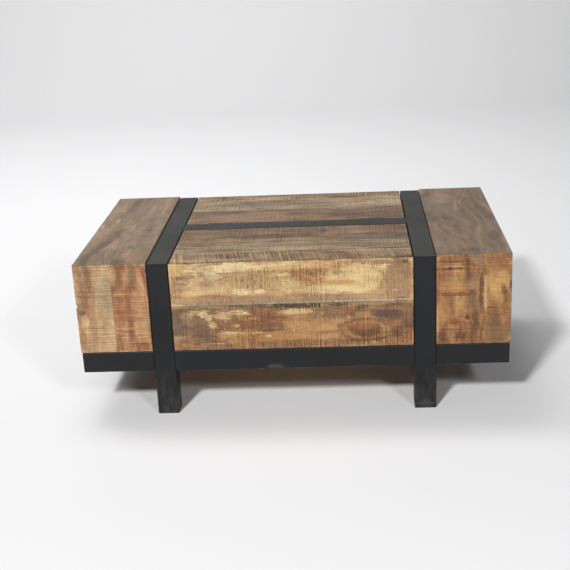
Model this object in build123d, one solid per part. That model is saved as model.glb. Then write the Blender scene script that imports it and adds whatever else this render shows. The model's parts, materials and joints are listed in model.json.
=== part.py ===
from build123d import *
import os

# A low storage chest: a black square-tube frame holding two fixed end blocks and a centre box.
# The box opens by two lids, hinged either side of a bar that runs along the middle of the top.
# Millimetres. X along the length, Y towards the rear, Z up; origin on the floor under the middle.

# ---- Overall sizes ----
LENGTH = 1000.0
DEPTH = 600.0
HEIGHT = 378.0

# ---- Steel frame ----
TUBE = 50.0               # square tube, outside
WALL = 2.0
CORNER_R = 3.0
FRAME_TOP = 375.0
FRAME_HALF_LENGTH = 498.0
FRAME_HALF_DEPTH = 298.0
RAIL_BOTTOM = 110.0
HOOP_INNER_X = 280.0      # inner side of the hoops and legs
FOOT_FLANGE = 3.0
FOOT_PLUG_HEIGHT = 15.0
FOOT_SLACK = 0.3

# ---- Wood ----
BOARD = 22.0              # thickness of every outside board
SEAM = 1.5                # shadow gap between wood and steel
BLOCK_SEAM = 0.5          # the end blocks sit closer to their hoops
LID_END_GAP = 2.5         # gap between a lid's end and the hoop
MITRE_GAP = 1.0           # gap across the mitre between lid and panel
PLY = 12.0                # floor panels
SIDE_WALL = 16.0
LID_REST_GAP = 0.5        # a closed lid sits this far above the side walls
LOWER_BOARD_TOP = 271.0   # joint between the two boards of the front and rear panels
END_BOARD_JOINT = 268.0   # joint between the two boards of an end face
OUTER_BOARD_WIDTH = {"left": 86.0, "right": 63.0}
LID_OUTER_PLANKS = {"front": (72.0, 78.0), "rear": (58.0, 97.0)}   # from the mitred edge inwards
POST = 22.0
POST_TOP = 350.0
BATTEN_WIDTH = 50.0
BATTEN_THICK = 16.0
LID_BATTEN_X = 170.0
SOFT_EDGE = 1.0           # chamfer on the inner timber

# ---- Hinges ----
LID_GAP = 4.0             # between the centre bar and a lid
LEAF = 1.4
HINGE_X = 190.0
HINGE_WIDTH = 60.0
KNUCKLES = 5
KNUCKLE_GAP = 0.4
KNUCKLE_R = 2.5
PIN_R = 1.2
PIN_SLACK = 0.05
PIN_OFFSET = 2.3          # pin axis, out from the side of the centre bar
PIN_DROP = 1.5            # pin axis, below the top of the frame
LEAF_TOP = 370.5
FIXED_LEAF_BOTTOM = 345.0
LID_LEAF_BOTTOM = 357.5
COVE_R = 3.0              # hollow in the lid's edge round the knuckles
LEAF_SCREW_OFFSET = 18.0
LEAF_SCREW_R = 1.5
LEAF_SCREW_HEAD_R = 2.8
LEAF_SCREW_HEAD = 1.2
LEAF_SCREW_LENGTH = 20.0

# ---- Fixing tabs and their screws ----
TAB = 30.0
TAB_THICK = 2.5
CENTRE_TAB_X = 140.0
BLOCK_TAB_X = 410.0
TAB_SCREW_R = 1.9
TAB_SCREW_HEAD_R = 4.0
TAB_SCREW_HEAD = 2.0
TAB_SCREW_REACH = 10.0
HOLE_SLACK = 0.2

# ---- Sizes that follow from the ones above ----
HALF_LENGTH = LENGTH / 2
HALF_DEPTH = DEPTH / 2
RAIL_TOP = RAIL_BOTTOM + TUBE
HOOP_OUTER_X = HOOP_INNER_X + TUBE
HOOP_MID_X = HOOP_INNER_X + TUBE / 2
LEG_MID_Y = FRAME_HALF_DEPTH - TUBE / 2
LEG_INNER_Y = FRAME_HALF_DEPTH - TUBE
WOOD_BOTTOM = RAIL_TOP + SEAM
BLOCK_UNDER = HEIGHT - BOARD          # underside of the end blocks' top boards
CENTRE_TOP = FRAME_TOP                # lids and centre panels lie level with the steel
LID_UNDER = CENTRE_TOP - BOARD
PANEL_INNER_Y = HALF_DEPTH - BOARD
BOX_HALF = HOOP_INNER_X - SEAM        # half length of the centre box
BLOCK_INNER_X = HOOP_OUTER_X + BLOCK_SEAM
FLOOR_TOP = RAIL_TOP + PLY
LID_INNER_Y = TUBE / 2 + LID_GAP
HINGE_Y = TUBE / 2 + PIN_OFFSET
HINGE_Z = FRAME_TOP - PIN_DROP
KNUCKLE_PITCH = HINGE_WIDTH / KNUCKLES

SIDES = {"left": -1, "right": 1}
FACES = {"front": -1, "rear": 1}

pieces = {}


def block(x_range, y_range, z_range):
    """A plain solid between two limits on each axis."""
    spans = [sorted(limits) for limits in (x_range, y_range, z_range)]
    sizes = [high - low for low, high in spans]
    centre = [(high + low) / 2 for low, high in spans]
    return Pos(*centre) * Box(*sizes)


def softened(solid, size=SOFT_EDGE):
    """The same solid with its edges taken off."""
    return chamfer(solid.edges(), size)


def rod(radius, length, centre, direction):
    """A cylinder centred on a point, along X, Y or Z."""
    turn = {"X": Rot(0, 90, 0), "Y": Rot(90, 0, 0), "Z": Rot(0, 0, 0)}[direction]
    return Pos(*centre) * turn * Cylinder(radius, length)


def square_tube(start, direction, length):
    """A hollow square tube from the middle of one end, along X, Y or Z."""
    inner = TUBE - 2 * WALL
    profile = RectangleRounded(TUBE, TUBE, CORNER_R)
    profile -= RectangleRounded(inner, inner, CORNER_R - WALL)
    turn = {"X": Rot(0, 90, 0), "Y": Rot(-90, 0, 0), "Z": Rot(0, 0, 0)}[direction]
    return Pos(*start) * turn * extrude(profile, amount=length)


def cut_square(solid, point, keep_towards):
    """The part of a solid on the side of a plane that keep_towards points to."""
    return split(solid, bisect_by=Plane(origin=point, z_dir=keep_towards), keep=Keep.TOP)


def frame_uprights():
    """Four legs, mitred at the top into the two hoop tops, with a plug in each foot."""
    for side, sx in SIDES.items():
        for face, sy in FACES.items():
            leg = square_tube((sx * HOOP_MID_X, sy * LEG_MID_Y, FOOT_FLANGE), "Z",
                              FRAME_TOP - FOOT_FLANGE)
            corner = (0, sy * FRAME_HALF_DEPTH, FRAME_TOP)
            pieces[f"{side}_{face}_leg"] = cut_square(leg, corner, (0, sy, -1))
        top = square_tube((sx * HOOP_MID_X, -FRAME_HALF_DEPTH, FRAME_TOP - TUBE / 2), "Y",
                          2 * FRAME_HALF_DEPTH)
        for sy in FACES.values():
            top = cut_square(top, (0, sy * FRAME_HALF_DEPTH, FRAME_TOP), (0, -sy, 1))
        pieces[f"{side}_hoop_top"] = top


def foot_plugs():
    """A flanged plastic plug in the bottom of each leg."""
    plug_width = TUBE - 2 * WALL - 2 * FOOT_SLACK
    flange = extrude(RectangleRounded(TUBE, TUBE, CORNER_R), amount=FOOT_FLANGE)
    plug = Pos(0, 0, FOOT_FLANGE) * extrude(Rectangle(plug_width, plug_width),
                                            amount=FOOT_PLUG_HEIGHT)
    foot = flange + plug
    spots = [(sx * HOOP_MID_X, sy * LEG_MID_Y) for sx in SIDES.values() for sy in FACES.values()]
    pieces["foot_plugs"] = Compound(children=[Pos(x, y, 0) * foot for x, y in spots])


def frame_rails():
    """The bottom frame: rails between and beside the legs, cross rails, and mitred end rails."""
    mid_z = RAIL_BOTTOM + TUBE / 2
    stub = FRAME_HALF_LENGTH - HOOP_OUTER_X
    for face, sy in FACES.items():
        y = sy * LEG_MID_Y
        pieces[f"{face}_rail_centre"] = square_tube((-HOOP_INNER_X, y, mid_z), "X", 2 * HOOP_INNER_X)
        for side, sx in SIDES.items():
            start = min(sx * HOOP_OUTER_X, sx * FRAME_HALF_LENGTH)
            rail = square_tube((start, y, mid_z), "X", stub)
            corner = (sx * FRAME_HALF_LENGTH, sy * FRAME_HALF_DEPTH, 0)
            pieces[f"{face}_rail_{side}"] = cut_square(rail, corner, (-sx, sy, 0))
    for side, sx in SIDES.items():
        end_x = sx * (FRAME_HALF_LENGTH - TUBE / 2)
        rail = square_tube((end_x, -FRAME_HALF_DEPTH, mid_z), "Y", 2 * FRAME_HALF_DEPTH)
        for sy in FACES.values():
            corner = (sx * FRAME_HALF_LENGTH, sy * FRAME_HALF_DEPTH, 0)
            rail = cut_square(rail, corner, (sx, -sy, 0))
        pieces[f"{side}_end_rail"] = rail
        pieces[f"{side}_cross_rail"] = square_tube((sx * HOOP_MID_X, -LEG_INNER_Y, mid_z), "Y",
                                                   2 * LEG_INNER_Y)


def centre_bar():
    """The bar along the top between the hoops, which carries both lids."""
    pieces["centre_bar"] = square_tube((-HOOP_INNER_X, 0, FRAME_TOP - TUBE / 2), "X",
                                       2 * HOOP_INNER_X)


def tab_places():
    """Where the floors are screwed down: two tabs on each long rail and one on each stub."""
    xs = (-BLOCK_TAB_X, -CENTRE_TAB_X, CENTRE_TAB_X, BLOCK_TAB_X)
    return [(x, sy * (LEG_INNER_Y - TAB / 2)) for x in xs for sy in FACES.values()]


def fixing_tabs():
    """Steel tabs welded to the rails, level with their tops, and the screws through them."""
    tabs = []
    screws = []
    for x, y in tab_places():
        tab = block((x - TAB / 2, x + TAB / 2), (y - TAB / 2, y + TAB / 2),
                    (RAIL_TOP - TAB_THICK, RAIL_TOP))
        tabs.append(tab - rod(TAB_SCREW_R + HOLE_SLACK, 3 * TAB_THICK, (x, y, RAIL_TOP), "Z"))
        under = RAIL_TOP - TAB_THICK
        head = rod(TAB_SCREW_HEAD_R, TAB_SCREW_HEAD, (x, y, under - TAB_SCREW_HEAD / 2), "Z")
        reach = TAB_THICK + TAB_SCREW_REACH
        screws.append(head + rod(TAB_SCREW_R, reach, (x, y, under + reach / 2), "Z"))
    pieces["fixing_tabs"] = Compound(children=tabs)
    pieces["tab_screws"] = Compound(children=screws)


def with_screw_holes(panel, inner_x, outer_x):
    """A floor panel with a hole for each tab screw that comes up under it."""
    for x, y in tab_places():
        if inner_x < x < outer_x:
            depth = 2 * (TAB_SCREW_REACH + HOLE_SLACK)
            panel -= rod(TAB_SCREW_R + HOLE_SLACK, depth, (x, y, RAIL_TOP), "Z")
    return panel


def end_block(side, sx):
    """A fixed block of boards outside each hoop; the top is mitred onto the front and rear."""
    inner = sx * BLOCK_INNER_X
    outer = sx * HALF_LENGTH
    end_inner = sx * (HALF_LENGTH - BOARD)
    joint = sx * (HALF_LENGTH - OUTER_BOARD_WIDTH[side])
    top = block((inner, outer), (-HALF_DEPTH, HALF_DEPTH), (BLOCK_UNDER, HEIGHT))
    for face, sy in FACES.items():
        corner = (0, sy * HALF_DEPTH, HEIGHT)
        top = cut_square(top, corner, (0, -sy, 1))
        for part, x_range in (("outer", (joint, outer)), ("inner", (inner, joint))):
            board = block(x_range, (sy * HALF_DEPTH, sy * PANEL_INNER_Y), (WOOD_BOTTOM, HEIGHT))
            pieces[f"{side}_{face}_{part}_board"] = cut_square(board, corner, (0, sy, -1))
    pieces[f"{side}_top_board"] = top
    across = (-PANEL_INNER_Y, PANEL_INNER_Y)
    pieces[f"{side}_end_upper_board"] = block((end_inner, outer), across, (END_BOARD_JOINT, BLOCK_UNDER))
    pieces[f"{side}_end_lower_board"] = block((end_inner, outer), across, (WOOD_BOTTOM, END_BOARD_JOINT))
    floor = block((inner, end_inner), across, (RAIL_TOP, FLOOR_TOP))
    low_x, high_x = sorted((inner, outer))
    pieces[f"{side}_block_floor"] = with_screw_holes(floor, low_x, high_x)


def block_battens():
    """Battens behind the end blocks' upright boards, which hold each pair of boards together."""
    inner = BLOCK_INNER_X
    outer = HALF_LENGTH - BOARD
    battens = []
    for sx in SIDES.values():
        for sy in FACES.values():
            back = sy * (PANEL_INNER_Y - BATTEN_THICK)
            for low in (FLOOR_TOP, BLOCK_UNDER - BATTEN_WIDTH):
                batten = block((sx * inner, sx * outer), (sy * PANEL_INNER_Y, back),
                               (low, low + BATTEN_WIDTH))
                battens.append(softened(batten))
    pieces["block_battens"] = Compound(children=battens)


def centre_box():
    """The storage space: front and rear panels of two boards, side walls, floor and posts."""
    along = (-BOX_HALF, BOX_HALF)
    across = (-PANEL_INNER_Y, PANEL_INNER_Y)
    for face, sy in FACES.items():
        thick = (sy * HALF_DEPTH, sy * PANEL_INNER_Y)
        upper = block(along, thick, (LOWER_BOARD_TOP, CENTRE_TOP))
        corner = (0, sy * HALF_DEPTH, CENTRE_TOP)
        pieces[f"{face}_upper_board"] = cut_square(upper, corner, (0, sy, -1))
        pieces[f"{face}_lower_board"] = block(along, thick, (WOOD_BOTTOM, LOWER_BOARD_TOP))
    floor = block(along, across, (RAIL_TOP, FLOOR_TOP))
    pieces["floor_panel"] = with_screw_holes(floor, *along)
    slot_half = TUBE / 2 + HOLE_SLACK
    posts = []
    for side, sx in SIDES.items():
        wall_inner = sx * (BOX_HALF - SIDE_WALL)
        wall = block((sx * BOX_HALF, wall_inner), across, (FLOOR_TOP, LID_UNDER - LID_REST_GAP))
        wall -= block((sx * BOX_HALF, wall_inner), (-slot_half, slot_half),
                      (FRAME_TOP - TUBE - HOLE_SLACK, FRAME_TOP))
        pieces[f"{side}_side_wall"] = wall
        for sy in FACES.values():
            post = block((wall_inner, wall_inner - sx * POST),
                         (sy * PANEL_INNER_Y, sy * (PANEL_INNER_Y - POST)), (FLOOR_TOP, POST_TOP))
            posts.append(softened(post))
    pieces["corner_posts"] = Compound(children=posts)


def knuckle_span(hinge_x, index):
    """The X limits of one knuckle of a hinge."""
    start = hinge_x - HINGE_WIDTH / 2 + index * KNUCKLE_PITCH
    return start + KNUCKLE_GAP / 2, start + KNUCKLE_PITCH - KNUCKLE_GAP / 2


def hinge_leaf(hinge_x, y_range, bottom, sy, indices):
    """A leaf: a plate, and a finger and knuckle at every given place, bored for the pin."""
    leaf = block((hinge_x - HINGE_WIDTH / 2, hinge_x + HINGE_WIDTH / 2), y_range, (bottom, LEAF_TOP))
    for index in indices:
        low, high = knuckle_span(hinge_x, index)
        leaf += block((low, high), y_range, (LEAF_TOP, HINGE_Z))
        leaf += rod(KNUCKLE_R, high - low, ((low + high) / 2, sy * HINGE_Y, HINGE_Z), "X")
    return leaf - rod(PIN_R + PIN_SLACK, HINGE_WIDTH, (hinge_x, sy * HINGE_Y, HINGE_Z), "X")


def leaf_screw_places(sy):
    """The middle of the lid leaf's outer face at each of its screws."""
    z = (LID_LEAF_BOTTOM + LEAF_TOP) / 2
    y = sy * (LID_INNER_Y - LEAF)
    xs = [hinge * HINGE_X + screw * LEAF_SCREW_OFFSET for hinge in (-1, 1) for screw in (-1, 1)]
    return [(x, y, z) for x in xs]


def hinges():
    """Two butt hinges for each lid; their fixed leaves are welded to the centre bar."""
    pins = []
    for face, sy in FACES.items():
        fixed = []
        moving = []
        for hinge_x in (-HINGE_X, HINGE_X):
            bar_side = (sy * TUBE / 2, sy * (TUBE / 2 + LEAF))
            lid_side = (sy * (LID_INNER_Y - LEAF), sy * LID_INNER_Y)
            fixed.append(hinge_leaf(hinge_x, bar_side, FIXED_LEAF_BOTTOM, sy, (0, 2, 4)))
            moving.append(hinge_leaf(hinge_x, lid_side, LID_LEAF_BOTTOM, sy, (1, 3)))
            pins.append(rod(PIN_R, HINGE_WIDTH, (hinge_x, sy * HINGE_Y, HINGE_Z), "X"))
        screws = []
        for x, y, z in leaf_screw_places(sy):
            for index in range(2):
                sink = rod(LEAF_SCREW_HEAD_R + HOLE_SLACK, 2 * LEAF_SCREW_HEAD, (x, y, z), "Y")
                bore = rod(LEAF_SCREW_R + HOLE_SLACK, 4 * LEAF, (x, y, z), "Y")
                moving[index] = moving[index] - sink - bore
            head = rod(LEAF_SCREW_HEAD_R, LEAF_SCREW_HEAD, (x, y + sy * LEAF_SCREW_HEAD / 2, z), "Y")
            shank = rod(LEAF_SCREW_R, LEAF_SCREW_LENGTH, (x, y + sy * LEAF_SCREW_LENGTH / 2, z), "Y")
            screws.append(head + shank)
        pieces[f"{face}_hinge_fixed_leaves"] = Compound(children=fixed)
        pieces[f"{face}_hinge_lid_leaves"] = Compound(children=moving)
        pieces[f"{face}_hinge_screws"] = Compound(children=screws)
    pieces["hinge_pins"] = Compound(children=pins)


def lid(face, sy):
    """Three planks with two battens under them; the outer plank is mitred onto the panel."""
    outer_width, middle_width = LID_OUTER_PLANKS[face]
    edges = {"outer": (HALF_DEPTH - outer_width, HALF_DEPTH)}
    edges["middle"] = (edges["outer"][0] - middle_width, edges["outer"][0])
    edges["inner"] = (LID_INNER_Y, edges["middle"][0])
    half = HOOP_INNER_X - LID_END_GAP
    planks = {}
    for name, (near, far) in edges.items():
        planks[name] = block((-half, half), (sy * near, sy * far), (LID_UNDER, CENTRE_TOP))
    slope = MITRE_GAP * 2 ** 0.5
    corner = (0, sy * (HALF_DEPTH - slope), CENTRE_TOP)
    planks["outer"] = cut_square(planks["outer"], corner, (0, -sy, 1))
    for hinge_x in (-HINGE_X, HINGE_X):
        length = HINGE_WIDTH + 2 * KNUCKLE_GAP
        planks["inner"] -= rod(COVE_R, length, (hinge_x, sy * HINGE_Y, HINGE_Z), "X")
    for x, y, z in leaf_screw_places(sy):
        depth = 2 * (LEAF_SCREW_LENGTH + HOLE_SLACK)
        planks["inner"] -= rod(LEAF_SCREW_R + HOLE_SLACK, depth, (x, y, z), "Y")
    for name, plank in planks.items():
        pieces[f"{face}_lid_{name}_plank"] = plank
    battens = []
    for x in (-LID_BATTEN_X, LID_BATTEN_X):
        batten = block((x - BATTEN_WIDTH / 2, x + BATTEN_WIDTH / 2),
                       (sy * (LID_INNER_Y + BATTEN_THICK), sy * (PANEL_INNER_Y - BATTEN_THICK)),
                       (LID_UNDER - BATTEN_THICK, LID_UNDER))
        battens.append(softened(batten))
    pieces[f"{face}_lid_battens"] = Compound(children=battens)


frame_uprights()
foot_plugs()
frame_rails()
centre_bar()
fixing_tabs()
for side_name, side_sign in SIDES.items():
    end_block(side_name, side_sign)
block_battens()
centre_box()
hinges()
for face_name, face_sign in FACES.items():
    lid(face_name, face_sign)

os.makedirs("parts", exist_ok=True)
for node, shape in pieces.items():
    export_step(shape, f"parts/{node}.step")
print(len(pieces), "nodes written")
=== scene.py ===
# %% [markdown]
# # A steel-framed storage chest of rough-sawn wood
#
# The chest is a black frame of square steel tube with two fixed blocks of boards at its ends and a
# box in the middle, closed by two lids that hinge on a bar along the top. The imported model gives
# every part's size and place, and this lesson gives them their looks: sawn faces, worn arrises,
# grain, weathering, powder-coated steel, screw heads and weld beads.

# %% Load the fixed frame
import json
import math

import bpy
import numpy as np
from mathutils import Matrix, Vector


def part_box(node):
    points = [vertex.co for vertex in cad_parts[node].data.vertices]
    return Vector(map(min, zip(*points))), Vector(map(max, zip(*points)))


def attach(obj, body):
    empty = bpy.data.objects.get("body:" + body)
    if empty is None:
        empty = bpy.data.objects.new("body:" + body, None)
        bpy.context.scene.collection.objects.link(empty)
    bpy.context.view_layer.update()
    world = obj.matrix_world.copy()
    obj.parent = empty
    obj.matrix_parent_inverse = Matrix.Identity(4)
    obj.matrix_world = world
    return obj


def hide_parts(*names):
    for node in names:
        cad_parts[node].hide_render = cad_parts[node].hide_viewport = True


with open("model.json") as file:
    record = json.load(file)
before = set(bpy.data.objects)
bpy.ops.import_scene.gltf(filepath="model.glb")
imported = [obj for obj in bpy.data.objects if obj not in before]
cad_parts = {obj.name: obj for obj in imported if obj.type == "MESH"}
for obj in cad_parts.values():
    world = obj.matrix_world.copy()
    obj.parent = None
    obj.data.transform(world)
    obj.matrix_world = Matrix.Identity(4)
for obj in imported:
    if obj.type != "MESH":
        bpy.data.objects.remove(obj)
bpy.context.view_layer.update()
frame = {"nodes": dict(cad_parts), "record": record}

MM = 0.001
BODY_OF = {node: body for body, nodes in frame["record"]["behaviour"]["bodies"].items()
           for node in nodes}
SLOT_OF = {part["node"]: part["material_slot"] for part in frame["record"]["subparts"]}

# %% [markdown]
# ## Helpers for node trees
#
# Materials and Geometry Nodes are both trees of nodes joined by links. One helper adds a node and
# fills its inputs: an input that is given another node's output is linked, and any other value is
# typed in. Short helpers for arithmetic keep the longer trees readable.

# %% Node helpers
def add_node(tree, kind, inputs=None, **settings):
    """A new node with its settings, and its inputs linked or set."""
    node = tree.nodes.new(kind)
    for name, value in settings.items():
        setattr(node, name, value)
    for name, value in (inputs or {}).items():
        if isinstance(value, bpy.types.NodeSocket):
            tree.links.new(value, node.inputs[name])
        else:
            node.inputs[name].default_value = value
    return node


def arithmetic(tree, operation, *values, clamp=False):
    """One sum on plain numbers."""
    node = add_node(tree, "ShaderNodeMath", dict(enumerate(values)), operation=operation)
    node.use_clamp = clamp
    return node.outputs[0]


def on_vectors(tree, operation, *values):
    """One sum on vectors; a length or a dot product comes back as a number."""
    inputs = dict(enumerate(values))
    if operation == "SCALE":
        inputs = {"Vector": values[0], "Scale": values[1]}
    node = add_node(tree, "ShaderNodeVectorMath", inputs, operation=operation)
    return node.outputs["Value" if operation in ("LENGTH", "DOT_PRODUCT") else "Vector"]


def remap(tree, value, from_low, from_high, to_low=0.0, to_high=1.0, ease="LINEAR"):
    """A number moved from one range to another and held inside it."""
    inputs = {"Value": value, "From Min": from_low, "From Max": from_high,
              "To Min": to_low, "To Max": to_high}
    return add_node(tree, "ShaderNodeMapRange", inputs, interpolation_type=ease).outputs["Result"]


def noise(tree, vector, scale, detail=2.0, roughness=0.5, distortion=0.0, dimensions="3D"):
    """A noise texture's value; in one dimension it runs along a number."""
    place = "W" if dimensions == "1D" else "Vector"
    inputs = {place: vector, "Scale": scale, "Detail": detail, "Roughness": roughness,
              "Distortion": distortion}
    return add_node(tree, "ShaderNodeTexNoise", inputs, noise_dimensions=dimensions).outputs[0]


def blend(tree, share, first, second, mode="MIX"):
    """Two colours mixed by a share from 0 to 1."""
    node = add_node(tree, "ShaderNodeMix", {0: share, 6: first, 7: second},
                    data_type="RGBA", blend_type=mode)
    return node.outputs[2]


def saw_wave(tree, run):
    """The height of the saw's marks along a count of its strokes, an uneven wave from 0 to 1."""
    drift = noise(tree, arithmetic(tree, "MULTIPLY", run, 0.23), 1.0, 1.0, dimensions="1D")
    turn = arithmetic(tree, "MULTIPLY_ADD", drift, 7.0, arithmetic(tree, "MULTIPLY", run, 2 * math.pi))
    wave = arithmetic(tree, "MULTIPLY_ADD", arithmetic(tree, "SINE", turn), 0.13, -0.02)
    uneven = noise(tree, run, 1.0, 2.0, 0.6, dimensions="1D")
    return arithmetic(tree, "ADD", wave, uneven)


def new_group(name, kind, inputs, outputs):
    """An empty node group with named inputs and outputs, and its two end nodes."""
    tree = bpy.data.node_groups.new(name, kind)
    for socket_name, socket_kind, value in inputs:
        socket = tree.interface.new_socket(socket_name, in_out="INPUT", socket_type=socket_kind)
        if value is not None:
            socket.default_value = value
    for socket_name, socket_kind in outputs:
        tree.interface.new_socket(socket_name, in_out="OUTPUT", socket_type=socket_kind)
    return tree, tree.nodes.new("NodeGroupInput").outputs, tree.nodes.new("NodeGroupOutput")


def place_group(tree, group, inputs):
    """A group placed in a tree, with its inputs filled; returns its outputs."""
    node = tree.nodes.new("ShaderNodeGroup")
    node.node_tree = group
    for name, value in inputs.items():
        if isinstance(value, bpy.types.NodeSocket):
            tree.links.new(value, node.inputs[name])
        else:
            node.inputs[name].default_value = value
    return node.outputs


def paint(red, green, blue):
    """A colour from its usual 0 to 255 values, as the linear light that shaders work in."""
    def linear(value):
        share = value / 255
        return share / 12.92 if share <= 0.04045 else ((share + 0.055) / 1.055) ** 2.4
    return (linear(red), linear(green), linear(blue), 1.0)


FLOAT = "NodeSocketFloat"
VECTOR = "NodeSocketVector"
print("helpers ready")

# %% [markdown]
# ## The camera and the studio
#
# The chest is looked at from a little above and a little to the right of its middle, with a long
# lens so that its edges stay nearly parallel. It stands on a pale sweep: a floor that curves up
# into a wall, so no horizon shows. Two lamps stand in front, left and right of the camera, so every
# leg throws a soft shadow back to each side. A weak light overhead fills, and a wide one washes the
# wall behind, which would otherwise fall darker than the floor.

# %% Camera
CAMERA_PLACE = (0.13247, -2.67169, 1.13806)
CAMERA_TURN = (70.909, 2.608, 2.608)
CAMERA_LENS = 69.64
CAMERA_SENSOR = 36.0
view_data = bpy.data.cameras.new("studio_camera")
view_data.lens = CAMERA_LENS
view_data.sensor_width = CAMERA_SENSOR
camera = bpy.data.objects.new("studio_camera", view_data)
camera.location = CAMERA_PLACE
camera.rotation_euler = [math.radians(angle) for angle in CAMERA_TURN]
bpy.context.scene.collection.objects.link(camera)
bpy.context.scene.camera = camera
bpy.context.scene.view_settings.view_transform = "Standard"
print("camera", [round(value, 3) for value in camera.location])

# %% Studio sweep and lights
SWEEP_HALF_WIDTH = 9.0
SWEEP_FRONT = -8.0
SWEEP_BEND = 3.6
SWEEP_RADIUS = 3.0
SWEEP_HEIGHT = 7.0
SWEEP_STEPS = 24


def studio_sweep():
    """A floor that bends up into a wall behind the chest."""
    profile = [(SWEEP_FRONT, 0.0), (SWEEP_BEND, 0.0)]
    for step in range(1, SWEEP_STEPS + 1):
        angle = math.pi / 2 * step / SWEEP_STEPS
        profile.append((SWEEP_BEND + SWEEP_RADIUS * math.sin(angle),
                        SWEEP_RADIUS * (1 - math.cos(angle))))
    profile.append((SWEEP_BEND + SWEEP_RADIUS, SWEEP_HEIGHT))
    points = [(side * SWEEP_HALF_WIDTH, y, z) for y, z in profile for side in (-1, 1)]
    faces = [(2 * i, 2 * i + 1, 2 * i + 3, 2 * i + 2) for i in range(len(profile) - 1)]
    mesh = bpy.data.meshes.new("studio_sweep")
    mesh.from_pydata(points, [], faces)
    mesh.polygons.foreach_set("use_smooth", [True] * len(faces))
    sweep = bpy.data.objects.new("studio_sweep", mesh)
    bpy.context.scene.collection.objects.link(sweep)
    material = bpy.data.materials.new("studio_paper")
    material.use_nodes = True
    shader = material.node_tree.nodes["Principled BSDF"]
    shader.inputs["Base Color"].default_value = paint(231, 231, 232)
    shader.inputs["Roughness"].default_value = 0.75
    shader.inputs["Specular IOR Level"].default_value = 0.2
    mesh.materials.append(material)


def soft_light(name, place, aim, size, watts):
    """A square area light at a place, turned towards an aim."""
    data = bpy.data.lights.new(name, "AREA")
    data.shape = "SQUARE"
    data.size = size
    data.energy = watts
    light = bpy.data.objects.new(name, data)
    light.location = place
    turn = (Vector(aim) - Vector(place)).to_track_quat("-Z", "Y")
    light.rotation_euler = turn.to_euler()
    light.visible_camera = False
    bpy.context.scene.collection.objects.link(light)


# Each lamp's place, aim, size across and power.
CHEST_MIDDLE = (0.0, 0.0, 0.2)
LAMPS = {
    "left_lamp": ((-1.73, -5.0, 4.1), CHEST_MIDDLE, 0.58, 362.0),
    "right_lamp": ((1.82, -3.82, 2.58), CHEST_MIDDLE, 0.52, 56.0),
    "overhead": ((-1.5, 0.6, 2.5), CHEST_MIDDLE, 1.6, 5.0),
    "sweep_wash": ((-1.3, 1.4, 4.3), (-0.3, 5.4, 0.7), 3.0, 182.0),
}
studio_sweep()
for name, (place, aim, size, watts) in LAMPS.items():
    soft_light(name, place, aim, size, watts)
world = bpy.data.worlds.new("studio_air")
world.use_nodes = True
world.node_tree.nodes["Background"].inputs["Color"].default_value = (0.96, 0.97, 1.0, 1.0)
world.node_tree.nodes["Background"].inputs["Strength"].default_value = 0.035
bpy.context.scene.world = world
print("sweep,", len(LAMPS), "lights and the air's own light")
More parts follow.
